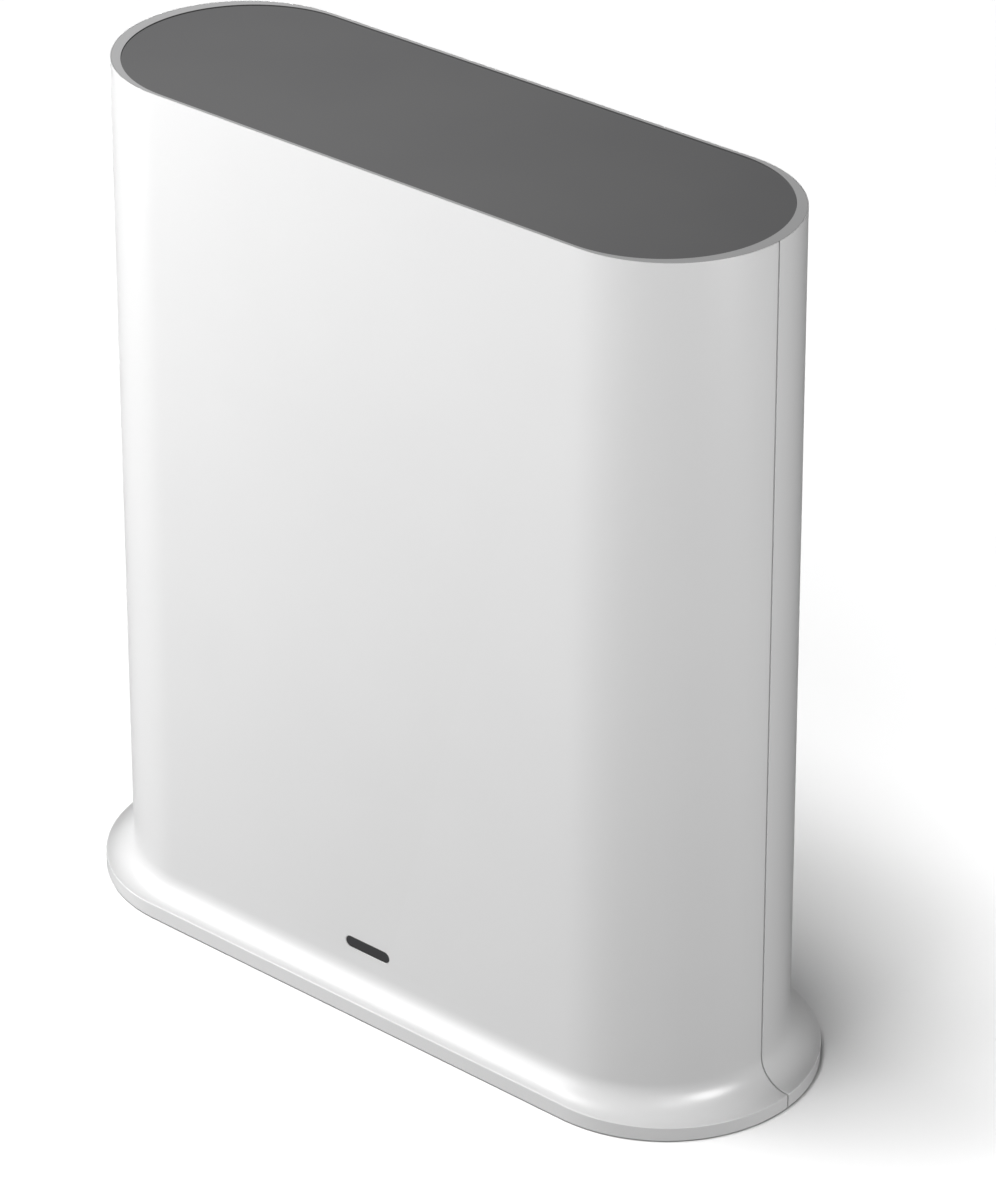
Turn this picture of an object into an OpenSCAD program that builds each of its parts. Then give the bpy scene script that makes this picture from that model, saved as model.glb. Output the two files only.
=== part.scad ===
/* [Body] */
// Length over the round ends at the top
body_len = 125; // [110:1:140]
// Depth at the top
body_dep = 41; // [38:0.5:48]
// Height from the table to the top rim
body_h = 148.4; // [140:0.2:160]
// Slope of the sides, in degrees
draft = 0.58; // [0:0.02:1]
// Wall of the two covers
wall = 2.2; // [1.8:0.1:2.6]

/* [Foot] */
// How far the base edge reaches past the top outline at each end
base_out = 6.85; // [6.4:0.05:8]
// How far the base edge reaches past the top outline at front and rear
base_out_side = 4.85; // [4.4:0.05:6]
// Radius of the flare
flare_r = 5; // [4:0.25:6]
// Height of the upright base edge
base_edge = 2.15; // [1.8:0.05:3]
// How far the rubber feet stand out below the base
foot_out = 0.5; // [0.3:0.05:1]
// Foot diameter
foot_d = 10; // [8:0.5:12]
// Depth that a foot is let into the base plate
foot_in = 1; // [0.6:0.1:1.2]
// Base plate thickness
base_t = 2; // [1.8:0.1:2.4]
// Width of the covers' edge around the base plate
base_lip = 3; // [2.6:0.1:3.4]

/* [Top] */
// Rim width at the round ends
rim_end = 2; // [1.6:0.1:3]
// Rim width along the sides
rim_side = 0.65; // [0.6:0.05:1.2]
// Thickness of the dark panel
panel_t = 0.8; // [0.6:0.1:1]
// How far the panel lies below the rim
panel_sink = 0.2; // [0.1:0.05:0.4]
// Thickness of the cap
cap_t = 3; // [2.6:0.1:4]
// Top edge of the covers left beside the cap
rim_land = 0.15; // [0.1:0.05:0.3]
// Slope of the cap's sides, in degrees
cap_draft = 11; // [6:0.5:11]
// Distance of the cap clips from the middle
clip_x = 30; // [24:1:36]

/* [Seam] */
// Width of the seam between the covers
seam_gap = 0.3; // [0.1:0.05:0.5]
// Thickness of the tongue behind the seam
tongue_t = 1; // [0.8:0.1:1.2]
// How far the tongue reaches into the rear cover
tongue_in = 1.8; // [1.2:0.1:2.4]

/* [Status light] */
// Slot length
slot_len = 9.3; // [8:0.1:11]
// Slot height
slot_h = 2.1; // [1.8:0.1:2.6]
// Slot middle, to the right of the middle of the front
slot_x = 0.8; // [-3:0.1:3]
// Slot middle above the table
slot_z = 11.5; // [11:0.1:12.5]

/* [Main board] */
// Distance from the board's side edges to the ends of the body
board_in = 14.5; // [13:0.5:17]
// Distance from the board's upper edge to the top rim
board_under = 28.4; // [26:0.2:32]
// Board thickness
board_t = 1.6; // [1.2:0.2:2]
// Rear face of the board, behind the seam
board_y = 3; // [2.6:0.1:3.4]
// Lower edge of the board above the table
board_z = 8; // [7.6:0.1:8.4]

/* [Rear sockets] */
// Height of the socket row
port_z = 32; // [30:0.5:36]
// Network socket, from the middle
net_x = 6; // [4:0.5:9]
// Data socket, from the middle
usb_x = -14; // [-16:0.5:-13]
// Power socket, from the middle
dc_x = 30; // [26:0.5:32]
// Reset pinhole, from the middle
reset_x = -32; // [-36:0.5:-28]
// Reset pinhole diameter
reset_d = 1.8; // [1.4:0.1:2.2]
// Sync button above the table
sync_z = 60; // [58:0.5:64]
// Sync button diameter
sync_d = 7; // [6:0.5:8]
// How far a button presses in
press = 0.5; // [0.25:0.05:0.6]

/* [Clearances] */
// Gap around the top cap
cap_fit = 0.05; // [0.02:0.01:0.1]
// Gap around the top panel
panel_fit = 0.1; // [0.05:0.01:0.15]
// Gap around the base plate
base_fit = 0.15; // [0.1:0.01:0.25]
// Gap around the tongue
tongue_fit = 0.1; // [0.05:0.01:0.15]
// Gap around the lens in its slot
lens_fit = 0.05; // [0.03:0.01:0.1]
// Gap between a socket and its cut-out
port_fit = 0.2; // [0.15:0.05:0.3]
// Gap between a button and what guides it
press_fit = 0.3; // [0.3:0.05:0.4]
// Gap around a screw in its clearance hole
screw_fit = 0.2; // [0.1:0.05:0.3]

/* [Hidden] */
$fn = 96;
eps = 0.01;
slope = tan(draft);
end_x = (body_len - body_dep) / 2;
base_len = body_len + 2 * base_out;
base_dep = body_dep + 2 * base_out_side;
edge_z = foot_out + base_edge;
flare_z = edge_z + flare_r;
plate_z = foot_out + base_t;
cap_z = body_h - cap_t;
cap_slope = tan(cap_draft);
panel_z = body_h - panel_sink - panel_t;
panel_len = body_len - 2 * rim_end;
panel_dep = body_dep - 2 * rim_side;
clip_y = half(cap_z) - wall - 0.2;
clip_w = 8;
clip_t = 1.5;
clip_len = 8.2;
clip_room = 0.3;
hook_out = 1;
hook_room = hook_out + clip_room;
hook_t = 0.8;
hook_z = 5.5;
cap_rib_end = 22.5;
cap_rib_side = 9.5;
cap_rib_len = body_len - 2 * cap_rib_end;
cap_rib_dep = body_dep - 2 * cap_rib_side;
cap_rib_t = 1.5;
cap_rib_h = 2;
tongue_step = 0.05;
groove = wall - tongue_t - tongue_fit;
tongue_z1 = plate_z + 2.4;
tongue_z2 = cap_z - 0.6;
end_rib_x = end_x + 6;
mid_rib_x = end_x * 0.38;
front_rib_t = 1.4;
front_rib_out = 1.2;
ring_r = half(plate_z) - wall - 0.4;
ring_t = 1.4;
ring_h = 1.8;
post_d = 7;
boss_d = 9;
post_x = 30;
post_y = body_dep / 2 - 8.5;
post_z = plate_z + 2;
post_h = 14.5;
post_rib = 1.6;
post_wall_y = half(post_z + post_h) - wall / 2;
rib_drop = 1.8;
pilot = 10.5;
foot_x = end_x + body_dep / 2 - 10.5;
foot_y = body_dep / 2 - 8;
foot_fit = 0.05;
base_screw_d = 2.8;
base_screw_len = 11;
base_head_d = 5.6;
base_head_h = 1.8;
head_z = foot_out + 0.3;
front_y = board_y - board_t;
board_w = body_len - 2 * board_in;
board_h = body_h - board_under - board_z;
board_top = board_z + board_h;
board_mid = board_z + board_h / 2;
front_rib_z1 = board_mid;
front_rib_z2 = cap_z - 12;
corner_r = 2;
hole_x = board_w / 2 - 4;
hole_z1 = board_z + 6;
hole_z2 = board_top - 6;
board_post_d = 6;
board_screw_d = 2.2;
board_screw_len = 8;
board_head_d = 4.4;
board_head_h = 1.7;
lens_lip = 1.1;
lens_t = 1;
lens_w = slot_len + 2 * lens_lip;
lens_h = slot_h + 2 * lens_lip;
lens_y = -(half(slot_z) - lens_t);
guide_y = lens_y + lens_t;
guide_h = 2;
guide_z = slot_z - guide_h / 2;
guide_room = 0.2;
shelf_t = 1.2;
shelf_w = lens_w + 4.5;
shelf_len = 12;
led_w = 3.4;
led_h = 2.8;
led_t = 1.9;
led_dish_d = 2.2;
net_w = 16;
net_h = 13.6;
net_sheet = 0.3;
net_edge = 0.15;
net_core_w = net_w - 2 * net_sheet;
net_core_h = net_h - 2 * net_sheet;
net_mouth = half(port_z) - 0.6;
net_in_w = 12;
net_in_h = 7.2;
net_in = 13.5;
latch_w = 6.4;
latch_h = 1.8;
latch_slim_w = 4;
latch_slim_h = 2.7;
light_x = 5.3;
light_w = 2.8;
light_h = 2;
light_drop = 1.7;
light_in = 6;
wire_w = 0.44;
wire_t = 0.3;
wire_step = 1.02;
wire_in = 1;
wire_foot = 2.6;
wire_len = 9.4;
wire_drop = 2.1;
usb_w = 13.1;
usb_h = 5.7;
usb_sheet = 0.3;
usb_tab_w = 2;
usb_mouth = half(port_z) - 0.3;
usb_core_w = usb_w - 2 * usb_sheet;
usb_core_h = usb_h - 2 * usb_sheet;
usb_tab_y = usb_mouth - 4 * usb_tab_w;
usb_block = 6;
tongue_w = 11.1;
tongue_h = 1.8;
tongue_z = port_z + 1.1;
tongue_back = 1.2;
usb_wire_w = 1;
usb_wire_t = 0.2;
dc_w = 9;
dc_h = 11;
dc_nose_d = 8.6;
dc_bore_d = 6.4;
dc_pin_d = 2;
dc_root_d = 1.5;
dc_root = 2;
dc_tip = 1;
dc_mouth = half(port_z) - 0.4;
dc_step = half(port_z) - wall - 1.2;
dc_floor = board_y + 7;
leaf_w = 2;
leaf_t = 0.3;
leaf_z = 4.4;
leaf_in = 1.4;
leaf_foot = 2.4;
leaf_mid = 4;
leaf_len = 5.2;
switch_w = 6;
switch_h = 2.8 + press;
switch_floor = 0.6;
cover_t = 0.3;
plunger_d = 3.2;
plunger_lip_d = 4.6;
plunger_lip_t = 1.2;
plunger_top = board_y + switch_h + cover_t + 1.4;
reset_room = 1.5;
tube_wall = 1.4;
tube_len = 5.7;
tube_end = half(sync_z) - wall - tube_len;
sync_lip = 1.2;
sync_out = 0.35;
sync_stem_d = 3.4;
sync_break = 0.4;
vent_up = 39;
vent_z = board_mid + vent_up;
vent_h = 17;
vent_w = 2;
vent_step = 4.5;
floor_vent_len = 20;
floor_vent_w = 3;
floor_vent_step = 6;
strip_t = 0.8;
strip_y = board_y + 2.6;
stake_d = 4.6;
peg_d = 1.8;
peg_head_d = 3.2;
peg_head_h = 0.6;
lead_d = 1.2;
lead_bend = 3;
lead_lap = 0.05;
lead_on = 2.3;
lead_y = strip_y - lead_d / 2;
wing_x = end_x + body_dep / 2 - 8;
wing_w = 7;
wing_h = 44;
wing_z = board_mid - 2;
wing_peg = 7;
bar_w = 56;
bar_h = 8;
bar_z = board_top + 8;
bar_x = 22;
plug_x = wing_x - 13.5;
plug_d = 2.8;
plug_neck_d = 1.6;
plug_len = 3;
seat_w = 2.6;
seat_t = 0.5;
seat_post_d = 2;
seat_h = 1.1;
camera_plug_x = 8;
camera_plug_z = board_top - 8;
cpu_z = board_mid + 18;
cpu_w = 19;
cpu_lid_w = 15;
cpu_t = 1.5;
cpu_base_t = 0.8;
pad_w = 16;
pad_t = 0.6;
sink_w = board_w * 0.458;
sink_y = front_y - cpu_t - pad_t;
sink_base = 3;
fin_t = 1.4;
fin_h = 9;
fin_step = (sink_w - fin_t) / 10.4;
pin_at = sink_w / 2 - 4.5;
pin_d = 2.9;
pin_head_d = 5.4;
pin_head_h = 2;
pin_barb_d = 4;
pin_barb_h = 1.2;
pin_room_d = 8;
radio_x = board_w / 2 - 12;
can_w = 20;
can_t = 0.2;
can_h = 2.6;
can_hole_d = 1;
can_hole_step = 3.2;
wifi_can_h = 28;
chip_t = 1;
ram_w = 13.4;
ram_h = 8;
flash_w = 12;
flash_h = 10;
wifi_chip_w = 10;
radio_chip_w = 7;
crystal_w = 5;
crystal_h = 3.2;
part_z = port_z + 16;
coil_w = 7;
coil_d = 6.4;
coil_base = 1;
coil_h = 4;
can_cap_d = 6.3;
can_cap_h = 7.7;
net_coil_w = 12.7;
net_coil_h = 7;
net_coil_t = 5.2;

function cap_r(z) = body_dep / 2 - rim_land - cap_fit - (body_h - z) * cap_slope;

// Half depth of the covers' outside at a height
function half(z) = body_dep / 2 + (body_h - z) * slope;

module slot2(w, h) {
    c = (w - h) / 2;
    translate([-c, -h / 2])
        square([2 * c, h]);
    for (s = [-1, 1])
        translate([s * c, 0])
            circle(d = h);
}

module slab(r0, r1, z0, z1) {
    for (s = [-1, 1])
        translate([s * end_x, 0, z0])
            cylinder(r1 = r0, r2 = r1, h = z1 - z0);
    translate([-end_x, 0, 0])
        rotate([90, 0, 90])
            linear_extrude(2 * end_x)
                polygon([[-r0, z0], [r0, z0], [r1, z1], [-r1, z1]]);
}

module skin(inset, z0, z1) {
    slab(half(z0) - inset, half(z1) - inset, z0, z1);
}

// A bar along Y from y0 to y1, with its outline drawn in X and Z
module along_y(y0, y1) {
    translate([0, y1, 0])
        rotate([90, 0, 0])
            linear_extrude(y1 - y0)
                children();
}

module rod(x, z, d, y0, y1) {
    translate([x, y1, z])
        rotate([90, 0, 0])
            cylinder(d = d, h = y1 - y0);
}

module block(x, z, w, h, y0, y1) {
    translate([x - w / 2, y0, z - h / 2])
        cube([w, y1 - y0, h]);
}

// Half of the body's cross-section: the leaning wall and, below it, the flare down to the base edge
module outer_side() {
    r = half(flare_z);
    foot_r = r + flare_r;
    difference() {
        polygon([
            [0, foot_out],
            [foot_r, foot_out],
            [foot_r, flare_z],
            [r, flare_z],
            [half(body_h), body_h],
            [0, body_h]
        ]);
        translate([foot_r, flare_z])
            circle(r = flare_r);
    }
}

// The flare runs out to the base edge, whose round ends have their own centres
module outside() {
    intersection() {
        union() {
            for (s = [-1, 1])
                translate([s * end_x, 0, 0])
                    rotate_extrude()
                        outer_side();
            for (a = [0, 180])
                rotate([0, 0, a])
                    translate([-end_x, 0, 0])
                        rotate([90, 0, 90])
                            linear_extrude(2 * end_x)
                                outer_side();
        }
        translate([0, 0, foot_out])
            linear_extrude(body_h)
                slot2(base_len, base_dep);
    }
    translate([0, 0, foot_out])
        linear_extrude(base_edge)
            slot2(base_len, base_dep);
}

// What both covers leave free: the room inside, the cap's seat and the base plate's seat
module inside_room() {
    skin(wall, plate_z - eps, cap_z + eps);
    slab(cap_r(cap_z) + cap_fit, cap_r(body_h + 1) + cap_fit, cap_z, body_h + 1);
    translate([0, 0, foot_out - 1])
        linear_extrude(base_t + 1)
            slot2(base_len - 2 * base_lip, base_dep - 2 * base_lip);
    for (x = [-clip_x, clip_x])
        translate([x - clip_w / 2 - clip_room, -clip_y - hook_room, cap_z - clip_len - clip_room])
            cube([clip_w + 2 * clip_room, 2 * (clip_y + hook_room), clip_len + clip_room - hook_z]);
}

module front_side() {
    translate([-body_len, -body_len, -1])
        cube([2 * body_len, body_len - seam_gap / 2, body_h + 2]);
}

module rear_side() {
    translate([-body_len, seam_gap / 2, -1])
        cube([2 * body_len, body_len, body_h + 2]);
}

// The part of a cover's wall between two depths, behind the seam from y0 to y1
module seam_ring(outer, inner, y0, y1, grow) {
    intersection() {
        difference() {
            skin(outer, plate_z, cap_z);
            skin(inner, plate_z - 1, cap_z + 1);
        }
        translate([-body_len, y0, tongue_z1 - grow])
            cube([2 * body_len, y1 - y0, tongue_z2 - tongue_z1 + 2 * grow]);
    }
}

module screw_posts(side) {
    for (x = [-post_x, post_x])
        difference() {
            union() {
                translate([x, side * post_y, post_z])
                    cylinder(d = post_d, h = post_h);
                translate([x - post_rib / 2, side > 0 ? post_y : -post_wall_y, post_z + rib_drop])
                    cube([post_rib, post_wall_y - post_y, post_h - 2 * rib_drop]);
            }
            translate([x, side * post_y, post_z - 1])
                cylinder(d = base_screw_d, h = pilot + 1);
        }
}

module front_cover() {
    color("white") {
        difference() {
            union() {
                difference() {
                    intersection() {
                        outside();
                        front_side();
                    }
                    inside_room();
                }
                for (z = [guide_z - shelf_t, guide_z + guide_h + guide_room])
                    translate([slot_x - shelf_w / 2, lens_y + lens_t - wall / 2, z])
                        cube([shelf_w, shelf_len, shelf_t]);
            }
            along_y(lens_y - 2 * lens_t, lens_y + lens_t)
                translate([slot_x, slot_z])
                    slot2(slot_len, slot_h);
            along_y(lens_y, lens_y + wall)
                translate([slot_x, slot_z])
                    slot2(lens_w + 2 * guide_room, lens_h + 2 * guide_room);
        }
        screw_posts(-1);
        seam_ring(wall - tongue_t, wall - tongue_step, -seam_gap / 2 - tongue_t, tongue_in, 0);
        for (x = [-end_rib_x, -mid_rib_x, mid_rib_x, end_rib_x])
            front_rib(x);
    }
}

// Stiffening rib on the inside of the front
module front_rib(x) {
    intersection() {
        difference() {
            skin(wall / 2, front_rib_z1, front_rib_z2);
            skin(wall + front_rib_out, front_rib_z1 - 1, front_rib_z2 + 1);
        }
        translate([x - front_rib_t / 2, -body_dep, front_rib_z1])
            cube([front_rib_t, body_dep - tongue_in - wall, front_rib_z2 - front_rib_z1]);
    }
}

module rear_cover() {
    color("white")
        difference() {
            union() {
                difference() {
                    intersection() {
                        outside();
                        rear_side();
                    }
                    inside_room();
                    seam_ring(groove, wall + tongue_t, 0, tongue_in + tongue_fit, tongue_fit);
                }
                screw_posts(1);
                intersection() {
                    rear_posts();
                    skin(wall / 2, flare_z, cap_z);
                }
            }
            rear_holes();
        }
}

module rear_posts() {
    for (x = [-hole_x, hole_x], z = [hole_z1, hole_z2])
        difference() {
            rod(x, z, board_post_d, board_y, body_dep);
            rod(x, z, board_screw_d, board_y - 1, board_y + board_screw_len);
        }
    for (s = [-1, 1], z = [wing_z + wing_peg, wing_z + wing_h - wing_peg])
        stake(s * wing_x, z);
    for (s = [-1, 1])
        stake(s * bar_x, bar_z);
    rod(0, sync_z, sync_d + 2 * press_fit + 2 * tube_wall, tube_end, body_dep);
    rod(reset_x, port_z, reset_d + 2 * tube_wall, plunger_top + reset_room, body_dep);
}

// A post that holds an antenna strip by its melted peg
module stake(x, z) {
    rod(x, z, stake_d, strip_y + strip_t, body_dep);
    rod(x, z, peg_d, strip_y - eps, strip_y + strip_t + eps);
    rod(x, z, peg_head_d, strip_y - peg_head_h, strip_y);
}

module rear_holes() {
    y = half(port_z) - 2 * wall;
    block(net_x, port_z, net_w + 2 * port_fit, net_h + 2 * port_fit, y, body_dep);
    block(usb_x, port_z, usb_w + 2 * port_fit, usb_h + 2 * port_fit, y, body_dep);
    rod(dc_x, port_z, dc_nose_d + 2 * port_fit, y, body_dep);
    rod(0, sync_z, sync_d + 2 * press_fit, tube_end - 1, body_dep);
    rod(reset_x, port_z, reset_d, plunger_top, body_dep);
    for (i = [-6 : 6])
        along_y(y, body_dep)
            translate([i * vent_step, vent_z])
                rotate(90)
                    slot2(vent_h, vent_w);
}

module top_cap() {
    color("lightgray") {
        difference() {
            slab(cap_r(cap_z), cap_r(body_h), cap_z, body_h);
            translate([0, 0, panel_z])
                linear_extrude(cap_t)
                    slot2(panel_len, panel_dep);
        }
        for (x = [-clip_x, clip_x], a = [0, 180])
            rotate([0, 0, a])
                translate([x - clip_w / 2, 0, 0])
                    rotate([90, 0, 90])
                        linear_extrude(clip_w)
                            cap_clip();
        translate([0, 0, cap_z - cap_rib_h])
            linear_extrude(cap_rib_h + eps)
                difference() {
                    slot2(cap_rib_len, cap_rib_dep);
                    slot2(cap_rib_len - 2 * cap_rib_t, cap_rib_dep - 2 * cap_rib_t);
                }
    }
}

module cap_clip() {
    polygon([
        [clip_y - clip_t, cap_z + eps], [clip_y - clip_t, cap_z - clip_len], [clip_y, cap_z - clip_len],
        [clip_y + hook_out, cap_z - hook_z - hook_t], [clip_y + hook_out, cap_z - hook_z],
        [clip_y, cap_z - hook_z], [clip_y, cap_z + eps]
    ]);
}

module top_panel() {
    color("dimgray")
        translate([0, 0, panel_z])
            linear_extrude(panel_t)
                slot2(panel_len - 2 * panel_fit, panel_dep - 2 * panel_fit);
}

module base_plate() {
    color("gainsboro")
        difference() {
            union() {
                translate([0, 0, foot_out])
                    linear_extrude(base_t)
                        slot2(base_len - 2 * base_lip - 2 * base_fit, base_dep - 2 * base_lip - 2 * base_fit);
                translate([0, 0, plate_z - eps])
                    linear_extrude(ring_h + eps)
                        difference() {
                            slot2(2 * (end_x + ring_r), 2 * ring_r);
                            slot2(2 * (end_x + ring_r - ring_t), 2 * (ring_r - ring_t));
                        }
                for (x = [-post_x, post_x], y = [-post_y, post_y])
                    translate([x, y, plate_z - eps])
                        cylinder(d = boss_d, h = post_z - plate_z + eps);
            }
            for (x = [-post_x, post_x], y = [-post_y, post_y]) {
                translate([x, y, 0])
                    cylinder(d = base_head_d + 2 * screw_fit, h = head_z + base_head_h);
                translate([x, y, 0])
                    cylinder(d = base_screw_d + 2 * screw_fit, h = post_z + 1);
            }
            for (x = [-foot_x, foot_x], y = [-foot_y, foot_y])
                translate([x, y, 0])
                    cylinder(d = foot_d, h = foot_out + foot_in);
            for (i = [-3 : 3])
                translate([i * floor_vent_step, 0, 0])
                    linear_extrude(post_z)
                        rotate(90)
                            slot2(floor_vent_len, floor_vent_w);
        }
}

module rubber_feet() {
    color("black")
        for (x = [-foot_x, foot_x], y = [-foot_y, foot_y])
            translate([x, y, 0])
                cylinder(d = foot_d - 2 * foot_fit, h = foot_out + foot_in);
}

// A pan-head screw with a cross recess, standing on its head
module screw(d, len, head_d, head_h) {
    difference() {
        union() {
            cylinder(d = head_d, h = head_h);
            translate([0, 0, head_h - eps])
                cylinder(d = d, h = len - d / 2);
            translate([0, 0, head_h + len - d / 2 - 2 * eps])
                cylinder(d1 = d, d2 = d * 0.4, h = d / 2);
        }
        for (a = [0, 90])
            rotate(a)
                translate([-head_d * 0.3, -head_d * 0.06, -1])
                    cube([head_d * 0.6, head_d * 0.12, 1 + head_h * 0.6]);
    }
}

module base_screws() {
    color("silver")
        for (x = [-post_x, post_x], y = [-post_y, post_y])
            translate([x, y, head_z])
                screw(base_screw_d, base_screw_len, base_head_d, base_head_h);
}

module board_screws() {
    color("silver")
        for (x = [-hole_x, hole_x], z = [hole_z1, hole_z2])
            translate([x, front_y - board_head_h, z])
                rotate([-90, 0, 0])
                    screw(board_screw_d, board_screw_len, board_head_d, board_head_h);
}

module status_lens() {
    color("darkslategray") {
        along_y(lens_y - lens_t, lens_y + eps)
            translate([slot_x, slot_z])
                slot2(slot_len - 2 * lens_fit, slot_h - 2 * lens_fit);
        along_y(lens_y, guide_y)
            translate([slot_x, slot_z])
                slot2(lens_w, lens_h);
    }
}

module light_guide() {
    w = slot_len / 2;
    back = front_y - led_t - guide_room;
    color("lightcyan")
        translate([slot_x, 0, guide_z])
            linear_extrude(guide_h)
                polygon([[-w, guide_y], [w, guide_y], [led_w / 2, back], [-led_w / 2, back]]);
}

module status_led() {
    color("ivory")
        difference() {
            block(slot_x, slot_z, led_w, led_h, front_y - led_t, front_y);
            rod(slot_x, slot_z, led_dish_d, front_y - 2 * led_t, front_y - 0.75 * led_t);
        }
}

module main_board() {
    color("darkgreen")
        difference() {
            along_y(front_y, board_y)
                board_outline();
            for (x = [-hole_x, hole_x], z = [hole_z1, hole_z2])
                rod(x, z, board_screw_d + 2 * screw_fit, front_y - 1, board_y + 1);
            for (s = [-1, 1])
                rod(s * pin_at, cpu_z + s * pin_at, pin_d + screw_fit, front_y - 1, board_y + 1);
        }
}

module board_outline() {
    for (s = [-1, 1], z = [board_z + corner_r, board_top - corner_r])
        translate([s * (board_w / 2 - corner_r), z])
            circle(r = corner_r);
    translate([-board_w / 2 + corner_r, board_z])
        square([board_w - 2 * corner_r, board_h]);
    translate([-board_w / 2, board_z + corner_r])
        square([board_w, board_h - 2 * corner_r]);
}

module processor() {
    color("dimgray") {
        block(0, cpu_z, cpu_w, cpu_w, front_y - cpu_base_t, front_y);
        block(0, cpu_z, cpu_lid_w, cpu_lid_w, front_y - cpu_t, front_y - cpu_base_t + eps);
    }
}

module thermal_pad() {
    color("lightpink")
        block(0, cpu_z, pad_w, pad_w, sink_y, sink_y + pad_t);
}

module heat_sink() {
    y = sink_y - sink_base;
    color("silver")
        difference() {
            union() {
                block(0, cpu_z, sink_w, sink_w, y, sink_y);
                for (i = [-5 : 5])
                    block(i * fin_step, cpu_z, fin_t, sink_w, y - fin_h, y + eps);
            }
            for (s = [-1, 1]) {
                rod(s * pin_at, cpu_z + s * pin_at, pin_room_d, y - fin_h - 1, y);
                rod(s * pin_at, cpu_z + s * pin_at, pin_d + screw_fit, y - 1, sink_y + 1);
            }
        }
}

module heat_sink_pins() {
    y = sink_y - sink_base;
    color("white")
        for (s = [-1, 1])
            translate([s * pin_at, 0, cpu_z + s * pin_at]) {
                rod(0, 0, pin_head_d, y - pin_head_h, y);
                rod(0, 0, pin_d, y - eps, board_y + eps);
                rod(0, 0, pin_barb_d, board_y, board_y + pin_barb_h);
                translate([0, board_y + pin_barb_h - eps, 0])
                    rotate([-90, 0, 0])
                        cylinder(d1 = pin_barb_d, d2 = pin_barb_d / 2, h = pin_barb_h);
            }
}

module ram_chip() {
    color("black")
        block(-sink_w / 7, cpu_z - cpu_w * 1.8, ram_w, ram_h, front_y - chip_t, front_y);
}

module flash_chip() {
    color("black")
        block(flash_w / 2 - radio_x, cpu_z - cpu_w * 2, flash_w, flash_h, front_y - chip_t, front_y);
}

module can(x, z, w, h) {
    difference() {
        block(x, z, w, h, front_y - can_h, front_y);
        block(x, z, w - 2 * can_t, h - 2 * can_t, front_y - can_h + can_t, front_y + 1);
        for (i = [-2 : 2], j = [-1, 1])
            translate([x + i * can_hole_step, 0, z + j * can_hole_step])
                rod(0, 0, can_hole_d, front_y - 2 * can_h, front_y - can_h / 2);
    }
}

module wifi_shield() {
    color("silver")
        can(-radio_x, cpu_z, can_w, wifi_can_h);
}

module wifi_chip() {
    color("black")
        block(-radio_x, cpu_z, wifi_chip_w, wifi_chip_w, front_y - chip_t, front_y);
}

module camera_radio_shield() {
    color("silver")
        can(radio_x, cpu_z, can_w, can_w);
}

module camera_radio_chip() {
    color("black")
        block(radio_x, cpu_z, radio_chip_w, radio_chip_w, front_y - chip_t, front_y);
}

module crystals() {
    color("silver")
        for (s = [-1, 1])
            block(s * radio_x / 2, cpu_z - sink_w * 0.68, crystal_w, crystal_h, front_y - chip_t, front_y);
}

module power_inductor() {
    x = dc_x + coil_w * 0.9;
    z = part_z + 1.2 * coil_w;
    color("dimgray") {
        block(x, z, coil_w, coil_w, board_y, board_y + coil_base);
        rod(x, z, coil_d, board_y + coil_base - eps, board_y + coil_h);
    }
}

module capacitors() {
    color("silver")
        for (x = [dc_x - 1.27 * can_cap_d, dc_x])
            rod(x, part_z, can_cap_d, board_y, board_y + can_cap_h);
}

module ethernet_mouth(grow) {
    translate([net_x, port_z]) {
        square([net_in_w + 2 * grow, net_in_h + 2 * grow], center = true);
        for (p = [[latch_w, latch_h], [latch_slim_w, latch_slim_h]])
            translate([-p[0] / 2 - grow, -net_in_h / 2 - p[1] - grow])
                square([p[0] + 2 * grow, p[1] + net_in_h / 2]);
    }
}

module ethernet_windows(grow) {
    for (s = [-1, 1])
        translate([net_x + s * light_x, port_z - net_in_h / 2 - light_drop])
            square([light_w + 2 * grow, light_h + 2 * grow], center = true);
}

module ethernet_shell() {
    color("silver")
        difference() {
            block(net_x, port_z, net_w, net_h, board_y, net_mouth);
            block(net_x, port_z, net_core_w, net_core_h, board_y - 1, net_mouth - net_sheet);
            along_y(net_mouth - 2 * net_sheet, net_mouth + 1) {
                ethernet_mouth(net_edge);
                ethernet_windows(net_edge);
            }
        }
}

module ethernet_insert() {
    color("black")
        difference() {
            block(net_x, port_z, net_core_w, net_core_h, board_y, net_mouth - net_sheet);
            along_y(net_mouth - net_in, net_mouth + 1)
                ethernet_mouth(0);
            along_y(net_mouth - light_in, net_mouth + 1)
                ethernet_windows(0);
        }
}

module ethernet_lights() {
    color("palegreen")
        along_y(net_mouth - light_in, net_mouth - net_sheet / 2)
            ethernet_windows(0);
}

module ethernet_contacts() {
    roof = port_z + net_in_h / 2;
    y = net_mouth - wire_in;
    color("gold")
        for (i = [0 : 7])
            translate([net_x + (i - 3.5) * wire_step - wire_w / 2, 0, 0])
                rotate([90, 0, 90])
                    linear_extrude(wire_w)
                        polygon([
                            [y, roof], [y - wire_foot, roof], [y - wire_len, roof - wire_drop],
                            [y - wire_len, roof - wire_drop - wire_t],
                            [y - wire_foot, roof - wire_t], [y, roof - wire_t]
                        ]);
}

module ethernet_transformer() {
    color("black")
        block(net_x, part_z, net_coil_w, net_coil_h, board_y, board_y + net_coil_t);
}

module usb_shell() {
    color("silver")
        difference() {
            block(usb_x, port_z, usb_w, usb_h, board_y, usb_mouth);
            block(usb_x, port_z, usb_core_w, usb_core_h, board_y - 1, usb_mouth + 1);
            for (x = [-1, 1], z = [-1, 1])
                translate([usb_x + x * usb_w / 4, 0, port_z + z * usb_h / 2])
                    block(0, 0, usb_tab_w, usb_tab_w, usb_tab_y, usb_tab_y + 1.4 * usb_tab_w);
        }
}

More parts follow.
